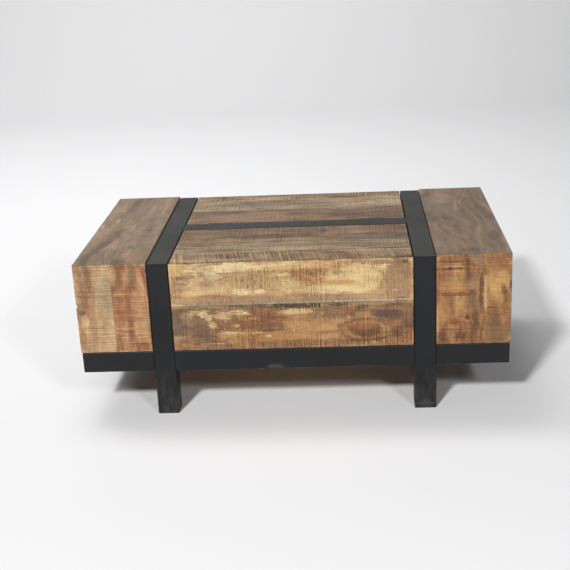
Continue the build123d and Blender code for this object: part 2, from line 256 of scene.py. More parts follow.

# %% [markdown]
# ## Sawn boards by Geometry Nodes
#
# A board from a band saw follows a rule: it is a box whose arrises are a little rounded and
# chipped, with a shallow ridge wherever the blade passed. So a Geometry Nodes tree makes it. The
# tree starts from a finely cut box and bunches the outermost cuts along each arris. It then pushes
# every point out from a smaller box inside, which rounds the arrises, less far where the saw or a
# knock took wood away. The ridges come from a one-dimensional noise along the board, which the
# wood's colour uses too, so colour and relief stay together. Each point also keeps its distance
# from the nearest arris, for rubbing and darkening there.

# %% The sawn board tree
def sawn_board_tree():
    """A box of wood between two corners, with rounded chipped arrises and saw ridges."""
    tree, given, out = new_group("Sawn board", "GeometryNodeTree", (
        ("Low Corner", VECTOR, None), ("High Corner", VECTOR, None),
        ("Cuts X", "NodeSocketInt", 8), ("Cuts Y", "NodeSocketInt", 8), ("Cuts Z", "NodeSocketInt", 8),
        ("Arris", FLOAT, 0.001), ("Chip Depth", FLOAT, 0.001),
        ("Saw Direction", VECTOR, None), ("Saw Depth", FLOAT, 0.0003), ("Seed", FLOAT, 0.0),
        ("Wood", "NodeSocketMaterial", None)), (("Geometry", "NodeSocketGeometry"),))
    tree.is_modifier = True

    size = on_vectors(tree, "SUBTRACT", given["High Corner"], given["Low Corner"])
    half = on_vectors(tree, "SCALE", size, 0.5)
    middle = on_vectors(tree, "ADD", given["Low Corner"], half)
    cube = add_node(tree, "GeometryNodeMeshCube", {
        "Size": size, "Vertices X": given["Cuts X"], "Vertices Y": given["Cuts Y"],
        "Vertices Z": given["Cuts Z"]}).outputs["Mesh"]
    even = tree.nodes.new("GeometryNodeInputPosition").outputs[0]

    cuts = add_node(tree, "ShaderNodeCombineXYZ", {
        "X": given["Cuts X"], "Y": given["Cuts Y"], "Z": given["Cuts Z"]}).outputs[0]
    cells = on_vectors(tree, "SUBTRACT", cuts, (1.0, 1.0, 1.0))
    arris = add_node(tree, "ShaderNodeCombineXYZ", {
        "X": given["Arris"], "Y": given["Arris"], "Z": given["Arris"]}).outputs[0]
    core = on_vectors(tree, "SUBTRACT", half, arris)
    inwards = on_vectors(tree, "SUBTRACT", half, on_vectors(tree, "ABSOLUTE", even))
    steps = on_vectors(tree, "DIVIDE", inwards, on_vectors(tree, "DIVIDE", size, cells))
    bunched = add_node(tree, "ShaderNodeMapRange", {
        "Vector": steps, 7: (0.0, 0.0, 0.0), 8: (3.0, 3.0, 3.0), 9: (0.0, 0.0, 0.0), 10: arris},
        data_type="FLOAT_VECTOR").outputs["Vector"]
    spread = add_node(tree, "ShaderNodeMapRange", {
        "Vector": steps, 7: (3.0, 3.0, 3.0), 8: on_vectors(tree, "SCALE", cells, 0.5),
        9: (0.0, 0.0, 0.0), 10: core}, data_type="FLOAT_VECTOR").outputs["Vector"]
    depth = on_vectors(tree, "ADD", bunched, spread)
    point = on_vectors(tree, "MULTIPLY", on_vectors(tree, "SIGN", even),
                       on_vectors(tree, "SUBTRACT", half, depth))

    inner = on_vectors(tree, "MAXIMUM", point, on_vectors(tree, "SCALE", core, -1.0))
    inner = on_vectors(tree, "MINIMUM", inner, core)
    outward = on_vectors(tree, "SUBTRACT", point, inner)
    sharp = arithmetic(tree, "DIVIDE", on_vectors(tree, "LENGTH", outward), given["Arris"])
    placed = on_vectors(tree, "ADD", point, middle)
    seed = add_node(tree, "ShaderNodeCombineXYZ", {"X": given["Seed"], "Y": given["Seed"]}).outputs[0]
    knocks = noise(tree, on_vectors(tree, "ADD", placed, seed), 55.0, 3.0, 0.6)
    chips = arithmetic(tree, "MULTIPLY", remap(tree, knocks, 0.52, 0.72),
                       arithmetic(tree, "MULTIPLY", remap(tree, sharp, 1.02, 1.3), given["Chip Depth"]))
    along = arithmetic(tree, "ADD", on_vectors(tree, "DOT_PRODUCT", placed, given["Saw Direction"]),
                       given["Seed"])
    ridges = arithmetic(tree, "MULTIPLY", saw_wave(tree, along), given["Saw Depth"])
    reach = arithmetic(tree, "SUBTRACT", given["Arris"], arithmetic(tree, "ADD", chips, ridges))
    pushed = on_vectors(tree, "SCALE", on_vectors(tree, "NORMALIZE", outward), reach)
    final = on_vectors(tree, "ADD", on_vectors(tree, "ADD", inner, pushed), middle)

    apart = add_node(tree, "ShaderNodeSeparateXYZ", {"Vector": depth}).outputs
    total = arithmetic(tree, "ADD", arithmetic(tree, "ADD", apart[0], apart[1]), apart[2])
    widest = arithmetic(tree, "MAXIMUM", arithmetic(tree, "MAXIMUM", apart[0], apart[1]), apart[2])
    marked = add_node(tree, "GeometryNodeStoreNamedAttribute", {
        "Geometry": cube, "Name": "arris_distance",
        "Value": arithmetic(tree, "SUBTRACT", total, widest)},
        data_type="FLOAT", domain="POINT").outputs[0]
    shaped = add_node(tree, "GeometryNodeSetPosition", {"Geometry": marked, "Position": final}).outputs[0]
    smooth = add_node(tree, "GeometryNodeSetShadeSmooth", {"Geometry": shaped}).outputs[0]
    real = add_node(tree, "GeometryNodeRealizeInstances", {"Geometry": smooth}).outputs[0]
    done = add_node(tree, "GeometryNodeSetMaterial", {"Geometry": real, "Material": given["Wood"]})
    tree.links.new(done.outputs[0], out.inputs["Geometry"])
    return tree


SAWN_BOARD = sawn_board_tree()
print("sawn board tree with", len(SAWN_BOARD.nodes), "nodes")

# %% [markdown]
# ## From tree to plain mesh
#
# A modifier's inputs are filled by their identifiers, then the result is copied into a plain mesh
# so that nothing stays live. The mitres are cut afterwards: near a mitred end each point slides
# back by its depth behind the face, which turns the square end into a 45 degree one.

# %% Applying a tree
def grown(name, tree, inputs, places=()):
    """An object made by a Geometry Nodes tree, at places if it repeats, turned to a plain mesh."""
    start = bpy.data.meshes.new("holder")
    start.from_pydata([tuple(place) for place in places], [], [])
    holder = bpy.data.objects.new("holder", start)
    bpy.context.scene.collection.objects.link(holder)
    modifier = holder.modifiers.new("grow", "NODES")
    modifier.node_group = tree
    sockets = {item.name: item.identifier for item in tree.interface.items_tree
               if item.in_out == "INPUT"}
    for socket_name, value in inputs.items():
        modifier[sockets[socket_name]] = value
    evaluated = holder.evaluated_get(bpy.context.evaluated_depsgraph_get())
    mesh = bpy.data.meshes.new_from_object(evaluated)
    bpy.data.objects.remove(holder)
    mesh.name = name
    piece = bpy.data.objects.new(name, mesh)
    bpy.context.scene.collection.objects.link(piece)
    return piece


MITRE_REACH = 1.6


def mitre(piece, end_axis, end, face_axis, face, thickness):
    """Cuts a 45 degree end: points near it slide back by their depth behind the face."""
    mesh = piece.data
    points = np.empty(len(mesh.vertices) * 3, np.float32)
    mesh.vertices.foreach_get("co", points)
    points = points.reshape(-1, 3)
    reach = MITRE_REACH * thickness
    share = np.clip(1 - np.abs(points[:, end_axis] - end) / reach, 0, 1)
    depth = np.abs(points[:, face_axis] - face)
    towards_middle = np.sign(points[:, end_axis].mean() - end)
    points[:, end_axis] += towards_middle * share * depth
    mesh.vertices.foreach_set("co", points.ravel())
    mesh.update()


CUT_ALONG = 1.9 * MM
CUT_ACROSS = 7.0 * MM
THICKNESS_CUTS = 9
BOARD_THICKNESS = 22 * MM
GRAIN_AXIS = {"X": 0, "Y": 1, "Z": 2}


def sawn_board(node, material, grain, seed, pitch, slant=0.0, arris=0.7, chip=0.9, ridge=0.25):
    """A sawn board in place of a CAD board, with its mitres still to be cut."""
    low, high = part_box(node)
    along = GRAIN_AXIS[grain]
    cuts = []
    for axis in range(3):
        length = high[axis] - low[axis]
        step = CUT_ALONG if axis == along else CUT_ACROSS
        cuts.append(THICKNESS_CUTS if length < 1.2 * BOARD_THICKNESS else max(10, round(length / step)))
    direction = [slant / pitch / MM] * 3
    direction[along] = 1 / pitch / MM
    piece = grown(f"sawn_{node}", SAWN_BOARD, {
        "Low Corner": tuple(low), "High Corner": tuple(high),
        "Cuts X": cuts[0], "Cuts Y": cuts[1], "Cuts Z": cuts[2],
        "Arris": arris * MM, "Chip Depth": chip * MM, "Saw Direction": tuple(direction),
        "Saw Depth": ridge * MM, "Seed": seed, "Wood": material})
    return piece


def knock_edge(piece, spot, radius, depth):
    """Takes a small bite out of an arris: points near the spot sink towards the board's middle."""
    mesh = piece.data
    points = np.empty(len(mesh.vertices) * 3, np.float32)
    mesh.vertices.foreach_get("co", points)
    points = points.reshape(-1, 3)
    away = np.linalg.norm(points - np.array(spot, np.float32), axis=1)
    bite = depth * np.clip(1 - away / radius, 0, 1)
    inwards = np.sign(points.mean(axis=0) - np.array(spot)) * (1.0, 1.0, 0.0)
    points += (inwards * bite[:, None]).astype(np.float32)
    mesh.vertices.foreach_set("co", points.ravel())
    mesh.update()


def cut_hollows(piece, node, material):
    """Cuts the board by its CAD board, so that it has the same hinge hollows and screw bores."""
    guide = bpy.data.objects.new("guide", frame["nodes"][node].data)
    bpy.context.scene.collection.objects.link(guide)
    cut = piece.modifiers.new("hollows", "BOOLEAN")
    cut.operation = "INTERSECT"
    cut.solver = "EXACT"
    cut.object = guide
    evaluated = piece.evaluated_get(bpy.context.evaluated_depsgraph_get())
    mesh = bpy.data.meshes.new_from_object(evaluated)
    piece.modifiers.clear()
    bpy.data.objects.remove(guide)
    mesh.materials.clear()
    mesh.materials.append(material)
    mesh.polygons.foreach_set("material_index", [0] * len(mesh.polygons))
    mesh.name = piece.name
    piece.data = mesh


def settle(piece, node):
    """Rides the piece on the node's body, and hides the node's CAD part, whose place it takes."""
    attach(piece, BODY_OF[node])
    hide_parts(node)


print("boards can be grown, mitred, knocked and hollowed")

# %% [markdown]
# ## Wood effects as shader groups
#
# Every wooden finish is mixed from the same effects, so each is a node group with its own inputs:
# the figure of the grain, the saw's marks, soft-edged patches of pale sapwood or dark stain, and
# the rubbing and darkening along the arrises. The groups put out masks only, and each finish decides
# what colours they lay over each other.

# %% Grain group
def grain_group():
    """The figure, fibres, pores and torn edges of wood; the grain runs along the vector's X."""
    tree, given, out = new_group("Wood grain", "ShaderNodeTree", (
        ("Vector", VECTOR, None), ("Band Width", FLOAT, 0.012), ("Banding", FLOAT, 0.3)), (
        ("Figure", FLOAT), ("Fibres", FLOAT), ("Pores", FLOAT), ("Tear", FLOAT)))

    def streaks(along, across, detail, roughness=0.6, distortion=0.0):
        stretched = on_vectors(tree, "MULTIPLY", given["Vector"], (along, across, across))
        return noise(tree, stretched, 1.0, detail, roughness, distortion)

    sway = streaks(2.6, 9.0, 2.0)
    pushed = on_vectors(tree, "ADD", on_vectors(tree, "MULTIPLY", given["Vector"], (1.0, 8.0, 8.0)),
                        add_node(tree, "ShaderNodeCombineXYZ", {"Y": sway, "Z": sway}).outputs[0])
    rings = noise(tree, pushed, 1.3, 1.0, 0.4)
    turns = arithmetic(tree, "DIVIDE", 0.6, given["Band Width"])
    bands = arithmetic(tree, "SINE", arithmetic(tree, "MULTIPLY", rings, turns))
    broad = arithmetic(tree, "ADD", streaks(3.0, 12.0, 4.0, 0.6, 0.5),
                       streaks(10.0, 34.0, 5.0, 0.68, 0.9))
    figure = arithmetic(tree, "ADD", remap(tree, broad, 0.74, 1.28),
                        arithmetic(tree, "MULTIPLY", bands, arithmetic(
                            tree, "MULTIPLY", given["Banding"], 0.5)))
    tree.links.new(remap(tree, streaks(26.0, 640.0, 3.0), 0.3, 0.7), out.inputs["Fibres"])
    tree.links.new(remap(tree, streaks(210.0, 780.0, 2.0), 0.56, 0.72), out.inputs["Pores"])
    tear = arithmetic(tree, "MULTIPLY_ADD", streaks(60.0, 210.0, 3.0, 0.7), 0.5,
                      arithmetic(tree, "MULTIPLY", streaks(17.0, 62.0, 4.0, 0.6, 0.7), 0.5))
    tree.links.new(remap(tree, tear, 0.3, 0.7), out.inputs["Tear"])
    figure = arithmetic(tree, "MULTIPLY_ADD", arithmetic(tree, "SUBTRACT", tear, 0.5), 1.1, figure)
    tree.links.new(figure, out.inputs["Figure"])
    return tree


GRAIN = grain_group()
print("grain group with", len(GRAIN.nodes), "nodes")

# %% Saw mark group
def saw_group():
    """Lines the saw left across the grain: long ridges, and short ticks that come and go."""
    tree, given, out = new_group("Saw marks", "ShaderNodeTree", (
        ("Vector", VECTOR, None), ("Saw Direction", VECTOR, None), ("Seed", FLOAT, 0.0),
        ("Tick Length", FLOAT, 0.026), ("Patchiness", FLOAT, 0.5)), (
        ("Lines", FLOAT), ("Ticks", FLOAT), ("Presence", FLOAT)))
    run = arithmetic(tree, "ADD", on_vectors(
        tree, "DOT_PRODUCT", given["Vector"], given["Saw Direction"]), given["Seed"])
    tree.links.new(remap(tree, saw_wave(tree, run), 0.28, 0.72), out.inputs["Lines"])
    across = arithmetic(tree, "DIVIDE", on_vectors(
        tree, "DOT_PRODUCT", given["Vector"], (1.0, 1.0, 1.0)), given["Tick Length"])
    spread = add_node(tree, "ShaderNodeCombineXYZ", {
        "X": arithmetic(tree, "MULTIPLY", run, 1.7), "Y": across, "Z": given["Seed"]}).outputs[0]
    ticks = arithmetic(tree, "MAXIMUM", remap(tree, noise(tree, spread, 1.0, 2.0, 0.65), 0.50, 0.68),
                       remap(tree, noise(tree, spread, 2.6, 1.0), 0.56, 0.72, 0.0, 0.7))
    tree.links.new(ticks, out.inputs["Ticks"])
    broken = noise(tree, on_vectors(tree, "SCALE", given["Vector"], 15.0), 1.0, 3.0, 0.6)
    least = arithmetic(tree, "SUBTRACT", 1.0, given["Patchiness"])
    tree.links.new(remap(tree, broken, 0.38, 0.62, least, 1.0, "SMOOTHSTEP"), out.inputs["Presence"])
    return tree


SAW_MARKS = saw_group()
print("saw mark group with", len(SAW_MARKS.nodes), "nodes")

# %% Patch group
def patch_group():
    """An oval with an outline torn along the grain, for sapwood, stains and knots."""
    tree, given, out = new_group("Torn patch", "ShaderNodeTree", (
        ("Vector", VECTOR, None), ("Centre", VECTOR, None), ("Radii", VECTOR, None),
        ("Tear", FLOAT, 0.5), ("Saw Lines", FLOAT, 0.5), ("Ragged", FLOAT, 0.4),
        ("Softness", FLOAT, 0.3)), (("Mask", FLOAT),))
    away = on_vectors(tree, "DIVIDE", on_vectors(tree, "SUBTRACT", given["Vector"], given["Centre"]),
                      given["Radii"])
    uneven = arithmetic(tree, "MULTIPLY_ADD", arithmetic(tree, "SUBTRACT", given["Saw Lines"], 0.5), 0.18,
                        arithmetic(tree, "SUBTRACT", given["Tear"], 0.5))
    torn = arithmetic(tree, "MULTIPLY", uneven, arithmetic(tree, "MULTIPLY", given["Ragged"], 2.4))
    distance = arithmetic(tree, "ADD", on_vectors(tree, "LENGTH", away), torn)
    inside = arithmetic(tree, "SUBTRACT", 1.0, given["Softness"])
    outside = arithmetic(tree, "ADD", 1.0, given["Softness"])
    tree.links.new(remap(tree, distance, inside, outside, 1.0, 0.0, "SMOOTHSTEP"), out.inputs["Mask"])
    return tree


PATCH = patch_group()
print("patch group with", len(PATCH.nodes), "nodes")

# %% Arris wear group
def wear_group():
    """Where an arris is rubbed or darkened, from each point's distance to it."""
    tree, given, out = new_group("Arris wear", "ShaderNodeTree", (
        ("Vector", VECTOR, None), ("Distance", FLOAT, 1.0), ("Width", FLOAT, 0.002)), (
        ("Darkening", FLOAT), ("Rub", FLOAT)))
    broken = noise(tree, on_vectors(tree, "SCALE", given["Vector"], 45.0), 1.0, 3.0, 0.6)
    width = arithmetic(tree, "MULTIPLY", given["Width"], arithmetic(tree, "ADD", broken, 0.5))
    near = arithmetic(tree, "DIVIDE", given["Distance"], width)
    tree.links.new(remap(tree, near, 0.2, 1.0, 1.0, 0.0, "SMOOTHSTEP"), out.inputs["Darkening"])
    rubbed = arithmetic(tree, "MULTIPLY", remap(tree, near, 1.0, 2.6, 1.0, 0.0),
                        remap(tree, broken, 0.5, 0.62))
    tree.links.new(rubbed, out.inputs["Rub"])
    return tree


WEAR = wear_group()
print("wear group with", len(WEAR.nodes), "nodes")

# %% [markdown]
# ## Mixing a wooden finish
#
# One function mixes every sawn finish from a palette of four tones, from dark to pale. The figure
# picks the tone, and each patch lays one more colour over it, with an outline torn along the grain.
# The saw's lines and ticks then darken the result across the grain, and the arrises get their
# darkening and rubbed spots. Roughness and bump follow the same masks, so the light catches the
# ridges where the eye sees them.

# %% The wooden finish
TURN_TO_GRAIN = {"X": (0.0, 0.0, 0.0), "Y": (0.0, 0.0, -math.pi / 2), "Z": (0.0, math.pi / 2, 0.0)}
# The dark brown that every arris is darkened towards, in broken stretches.
ARRIS_DARK = paint(62, 47, 35)
SAW_BROWN = paint(168, 142, 114)


def on_board(node, across, up):
    """A point on a board's box, by shares of its two wide directions."""
    low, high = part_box(node)
    size = high - low
    thin = min(range(3), key=lambda axis: size[axis])
    wide = [axis for axis in range(3) if axis != thin]
    spot = (low + high) / 2
    spot[wide[0]] = low[wide[0]] + across * size[wide[0]]
    spot[wide[1]] = low[wide[1]] + up * size[wide[1]]
    return spot, wide


def wood(name, node, grain, seed, palette, pitch, slant=0.0, lines=0.3, ticks=0.4, tick_length=24.0,
         banding=0.35, band_width=12.0, patchiness=0.6, patches=(), rough_spots=(), roughness=0.58,
         arris_dark=0.4, shade=0.56):
    """A sawn wooden finish for one board; palette holds dark, middle, warm and pale, and shade is
    how much of their light the board gives back. The saw's marks are deepest in rough spots."""
    material = bpy.data.materials.new(name)
    material.use_nodes = True
    tree = material.node_tree
    shader = tree.nodes["Principled BSDF"]
    place = tree.nodes.new("ShaderNodeTexCoord").outputs["Object"]
    turned = add_node(tree, "ShaderNodeMapping", {
        "Vector": place, "Rotation": TURN_TO_GRAIN[grain],
        "Location": (0.37 * seed, 0.61 * seed, 0.23 * seed)}).outputs[0]
    figure = place_group(tree, GRAIN, {"Vector": turned, "Band Width": band_width * MM,
                                       "Banding": banding})
    direction = [slant / pitch / MM] * 3
    direction[GRAIN_AXIS[grain]] = 1 / pitch / MM
    saw = place_group(tree, SAW_MARKS, {"Vector": place, "Saw Direction": tuple(direction),
                                        "Seed": seed, "Tick Length": tick_length * MM,
                                        "Patchiness": patchiness})
    tones = add_node(tree, "ShaderNodeValToRGB", {"Fac": figure["Figure"]})
    stops = tones.color_ramp.elements
    stops[0].position, stops[0].color = 0.05, palette[0]
    stops[1].position, stops[1].color = 0.95, palette[3]
    for position, tint in ((0.36, palette[1]), (0.64, palette[2])):
        stops.new(position).color = tint
    colour = tones.outputs["Color"]

    def oval(across, up, long_way, short_way, ragged, softness):
        centre, wide = on_board(node, across, up)
        radii = [1.0, 1.0, 1.0]
        radii[wide[0]] = long_way * MM
        radii[wide[1]] = short_way * MM
        return place_group(tree, PATCH, {"Vector": place, "Centre": tuple(centre),
                                         "Radii": tuple(radii), "Tear": figure["Tear"],
                                         "Saw Lines": saw["Lines"], "Ragged": ragged,
                                         "Softness": softness})["Mask"]

    broken = remap(tree, figure["Figure"], 0.1, 0.7, 0.65, 1.0)
    for across, up, long_way, short_way, tint, strength, ragged, softness in patches:
        mask = oval(across, up, long_way, short_way, ragged, softness)
        share = arithmetic(tree, "MULTIPLY", mask, arithmetic(tree, "MULTIPLY", broken, strength))
        colour = blend(tree, share, colour, tint)
    presence = saw["Presence"]
    for across, up, long_way, short_way in rough_spots:
        mask = oval(across, up, long_way, short_way, 0.8, 0.4)
        presence = arithmetic(tree, "MAXIMUM", presence, arithmetic(tree, "MULTIPLY", mask, 1.5))
    hollow = arithmetic(tree, "MULTIPLY", arithmetic(tree, "SUBTRACT", 1.0, saw["Lines"]),
                        arithmetic(tree, "MULTIPLY", presence, lines), clamp=True)
    colour = blend(tree, hollow, colour, SAW_BROWN, "MULTIPLY")
    nick = arithmetic(tree, "MULTIPLY", saw["Ticks"], arithmetic(
        tree, "MULTIPLY", presence, ticks), clamp=True)
    colour = blend(tree, nick, colour, SAW_BROWN, "MULTIPLY")
    lift = shade * (1.0 + 0.22 * lines + 0.12 * ticks)
    light = remap(tree, figure["Fibres"], 0.0, 1.0, 0.92 * lift, 1.06 * lift)
    light = arithmetic(tree, "MULTIPLY", light, remap(tree, figure["Pores"], 0.0, 1.0, 1.02, 0.80))
    colour = on_vectors(tree, "SCALE", colour, light)
    distance = add_node(tree, "ShaderNodeAttribute", attribute_name="arris_distance").outputs["Fac"]
    arris = place_group(tree, WEAR, {"Vector": place, "Distance": distance, "Width": 1.9 * MM})
    colour = blend(tree, arithmetic(tree, "MULTIPLY", arris["Rub"], 0.3), colour, palette[3])
    # Every arris is darkened towards dark brown in broken stretches, as far as the darkening share asks.
    colour = blend(tree, arithmetic(tree, "MULTIPLY", arris["Darkening"], arris_dark), colour, ARRIS_DARK)
    tree.links.new(colour, shader.inputs["Base Color"])
    rough = arithmetic(tree, "MULTIPLY_ADD", figure["Tear"], 0.14, roughness)
    rough = arithmetic(tree, "MULTIPLY_ADD", saw["Ticks"], 0.08, rough)
    tree.links.new(rough, shader.inputs["Roughness"])
    height = arithmetic(tree, "MULTIPLY_ADD", saw["Ticks"], -0.6,
                        arithmetic(tree, "MULTIPLY", figure["Fibres"], 0.35))
    bump = add_node(tree, "ShaderNodeBump", {"Height": height, "Strength": 0.55,
                                             "Distance": 0.0006}).outputs["Normal"]
    tree.links.new(bump, shader.inputs["Normal"])
    shader.inputs["Specular IOR Level"].default_value = 0.4
    return material


print("wooden finishes can be mixed")

# %% [markdown]
# ## The front and rear panels of the centre box
#
# Each panel is two boards laid along the box. The front pair shows the strongest figure of the
# whole chest: pale sapwood above, a grey weathered band with black stains along the joint, and
# orange-brown heartwood with cream flecks below. Blade marks stand upright across both.

# %% Front panel
HONEY = (paint(176, 138, 102), paint(198, 160, 118), paint(214, 178, 128), paint(232, 204, 150))
AMBER = (paint(124, 88, 62), paint(158, 115, 78), paint(182, 134, 88), paint(204, 162, 112))
CREAM = paint(242, 220, 168)
STRAW_YELLOW = paint(230, 196, 132)
GOLDEN = paint(212, 168, 108)
STAIN = paint(74, 66, 55)
PURPLE = paint(88, 74, 72)
ASH = paint(164, 146, 114)
BROWN = paint(134, 98, 68)
RUST = paint(150, 92, 58)
TANNED = paint(176, 140, 102)
# A patch is a soft oval: its place along and up the board as shares of its size, half its length and
# height in millimetres, its colour, and its strength, raggedness and softness. A rough spot, where the
# saw bit deepest, has only the place and the half sizes.
UPPER_PATCHES = (
    (0.57, 0.62, 92, 36, GOLDEN, 0.75, 0.70, 0.30),
    (0.20, 0.42, 90, 18, paint(220, 187, 140), 0.80, 0.70, 0.40),
    (0.50, 0.12, 400, 8, paint(172, 136, 104), 0.60, 0.60, 0.40),
    (0.945, 0.50, 42, 60, TANNED, 0.95, 0.35, 0.30),
    (0.82, 0.98, 62, 10, TANNED, 0.90, 0.50, 0.35),
    (0.10, 0.72, 54, 14, paint(136, 100, 70), 0.75, 2.40, 0.16),
    (0.22, 0.64, 44, 18, paint(140, 104, 72), 0.75, 2.40, 0.16),
    (0.58, 0.64, 74, 26, paint(160, 112, 66), 0.70, 2.40, 0.16),
    (0.92, 0.80, 40, 14, paint(150, 116, 84), 0.60, 2.00, 0.20),
    (0.20, 0.34, 64, 10, STRAW_YELLOW, 0.60, 1.80, 0.25),
    (0.16, 0.60, 60, 14, paint(240, 214, 164), 0.80, 2.20, 0.16),
    (0.47, 0.48, 56, 12, paint(240, 212, 156), 0.85, 2.20, 0.18),
    (0.755, 0.52, 66, 32, paint(234, 205, 146), 1.00, 0.18, 0.08),
    (0.71, 0.44, 44, 9, GOLDEN, 0.75, 0.70, 0.40),
    (0.68, 0.48, 34, 7, paint(188, 144, 94), 0.70, 0.80, 0.35),
    (0.647, 0.31, 66, 9, paint(238, 216, 166), 0.90, 0.60, 0.30),
    (0.575, 0.68, 12, 8, BROWN, 0.60, 1.40, 0.30),
    (0.69, 0.72, 10, 6, BROWN, 0.60, 1.40, 0.30),
    (0.34, 0.58, 60, 21, paint(206, 172, 126), 0.80, 0.90, 0.35),
    (0.042, 0.84, 30, 15, STRAW_YELLOW, 0.90, 0.60, 0.30),
    (0.17, 0.87, 44, 12, CREAM, 0.70, 1.30, 0.25),
    (0.29, 0.88, 66, 10, CREAM, 1.00, 0.80, 0.16),
    (0.415, 0.85, 14, 3, BROWN, 0.70, 0.90, 0.30),
    (0.464, 0.67, 18, 3.5, CREAM, 0.85, 1.00, 0.25),
    (0.49, 0.88, 60, 9, paint(238, 208, 150), 0.85, 0.80, 0.25),
    (0.154, 0.51, 18, 12, BROWN, 0.70, 0.80, 0.30),
    (0.150, 0.51, 10, 6, TANNED, 0.85, 0.60, 0.30),
    (0.04, 0.655, 15, 3.5, BROWN, 0.90, 0.60, 0.30),
    (0.077, 0.28, 28, 8, STRAW_YELLOW, 0.90, 0.45, 0.30),
    (0.17, 0.22, 40, 4, paint(164, 128, 96), 0.70, 0.60, 0.35),
    (0.29, 0.29, 20, 8, CREAM, 1.00, 0.60, 0.20),
    (0.375, 0.31, 13, 5.5, CREAM, 1.00, 0.60, 0.20),
    (0.967, 0.91, 7, 4, STAIN, 0.70, 0.20, 0.45),
    (0.924, 0.25, 7, 3, paint(216, 182, 134), 0.80, 0.50, 0.35),
    (0.45, 0.035, 250, 8, ASH, 0.90, 0.40, 0.40),
    (0.85, 0.02, 90, 5, ASH, 0.80, 0.40, 0.50),
    (0.80, 0.035, 125, 1.6, paint(200, 186, 152), 0.85, 0.40, 0.40),
    (0.952, 0.08, 8, 1.6, STAIN, 0.80, 0.30, 0.40),
)
LOWER_PATCHES = (
    (0.374, 0.28, 82, 14, paint(196, 144, 84), 0.75, 0.50, 0.40),
    (0.554, 0.42, 48, 18, paint(200, 154, 100), 0.65, 0.70, 0.35),
    (0.50, 0.06, 300, 9, paint(190, 150, 108), 0.65, 0.40, 0.45),
    (0.048, 0.92, 26, 6, paint(150, 118, 86), 0.80, 0.60, 0.40),
    (0.135, 0.33, 30, 19, paint(124, 95, 72), 0.75, 0.80, 0.35),
    (0.114, 0.67, 44, 24, paint(132, 106, 84), 0.80, 0.60, 0.35),
    (0.022, 0.55, 17, 33, paint(112, 98, 84), 0.80, 0.60, 0.35),
    (0.026, 0.28, 14, 6, paint(192, 164, 138), 0.80, 0.70, 0.35),
    (0.416, 0.60, 36, 20, paint(140, 92, 64), 0.80, 0.60, 0.35),
    (0.420, 0.42, 32, 5, paint(108, 80, 60), 0.80, 0.70, 0.35),
    (0.635, 0.76, 40, 16, paint(146, 122, 88), 0.80, 0.70, 0.35),
    (0.30, 0.55, 60, 24, paint(120, 80, 54), 0.42, 2.20, 0.20),
    (0.12, 0.45, 44, 26, paint(96, 76, 62), 0.38, 2.00, 0.20),
    (0.60, 0.50, 60, 20, paint(214, 168, 112), 0.60, 2.20, 0.20),
    (0.97, 0.76, 15, 25, paint(150, 126, 96), 0.70, 0.60, 0.40),
    (0.803, 0.37, 64, 29, paint(112, 72, 48), 0.85, 0.25, 0.12),
    (0.803, 0.38, 56, 23, paint(190, 142, 94), 0.95, 0.25, 0.12),
    (0.800, 0.37, 44, 15, paint(118, 78, 52), 0.80, 0.35, 0.20),
    (0.795, 0.45, 22, 9, paint(182, 130, 80), 0.75, 0.60, 0.30),
    (0.886, 0.38, 13, 16, paint(210, 168, 116), 0.75, 1.20, 0.25),
    (0.070, 0.76, 13, 10, paint(206, 180, 138), 0.75, 1.60, 0.20),
    (0.110, 0.86, 18, 5, STRAW_YELLOW, 0.80, 1.80, 0.14),
    (0.128, 0.78, 12, 9, CREAM, 0.85, 1.70, 0.14),
    (0.150, 0.68, 8, 13, CREAM, 0.80, 1.70, 0.14),
    (0.168, 0.57, 7, 8, STRAW_YELLOW, 0.80, 1.70, 0.14),
    (0.213, 0.77, 20, 14, paint(230, 200, 148), 1.00, 1.00, 0.12),
    (0.275, 0.86, 24, 4, CREAM, 0.90, 1.60, 0.14),
    (0.297, 0.80, 15, 3.5, CREAM, 0.90, 1.50, 0.14),
    (0.268, 0.534, 6, 3.5, STRAW_YELLOW, 0.90, 0.40, 0.25),
    (0.247, 0.36, 34, 3.4, STRAW_YELLOW, 0.85, 1.20, 0.18),
    (0.398, 0.29, 7, 3.4, CREAM, 0.85, 0.80, 0.25),
    (0.353, 0.37, 15, 1.5, STRAW_YELLOW, 0.85, 0.80, 0.25),
    (0.17, 0.14, 20, 1.4, CREAM, 0.75, 1.00, 0.30),
    (0.522, 0.835, 33, 8.5, paint(230, 198, 144), 0.95, 0.60, 0.18),
    (0.732, 0.67, 9, 7, paint(210, 174, 130), 0.90, 0.50, 0.25),
    (0.793, 0.72, 23, 6, paint(206, 162, 108), 0.85, 0.70, 0.25),
    (0.888, 0.72, 34, 9.5, PURPLE, 0.90, 0.50, 0.25),
    (0.505, 0.39, 1.5, 6, CREAM, 0.90, 0.90, 0.25),
    (0.50, 1.00, 420, 8, ASH, 0.80, 0.50, 0.45),
    (0.40, 0.97, 70, 5, STAIN, 0.70, 1.20, 0.30),
    (0.545, 0.955, 42, 7.5, STAIN, 0.80, 1.00, 0.35),
    (0.694, 0.955, 20, 5, STAIN, 0.80, 1.10, 0.30),
    (0.789, 0.88, 16, 4.5, paint(100, 78, 66), 0.80, 0.80, 0.30),
    (0.925, 0.945, 18, 3, paint(104, 94, 76), 0.75, 0.70, 0.35),
)
UPPER_ROUGH = ((0.36, 0.60, 58, 24), (0.56, 0.60, 40, 30))
LOWER_ROUGH = ((0.90, 0.22, 70, 26), (0.55, 0.08, 220, 12), (0.54, 0.95, 60, 10))
PANEL_PITCH = 5.2


def panel(node, material, seed, outer_face, mitred=True):
    """One board of a front or rear panel."""
    piece = sawn_board(node, material, "X", seed, PANEL_PITCH)
    if mitred:
        mitre(piece, 2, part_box(node)[1].z, 1, outer_face, BOARD_THICKNESS)
    settle(piece, node)


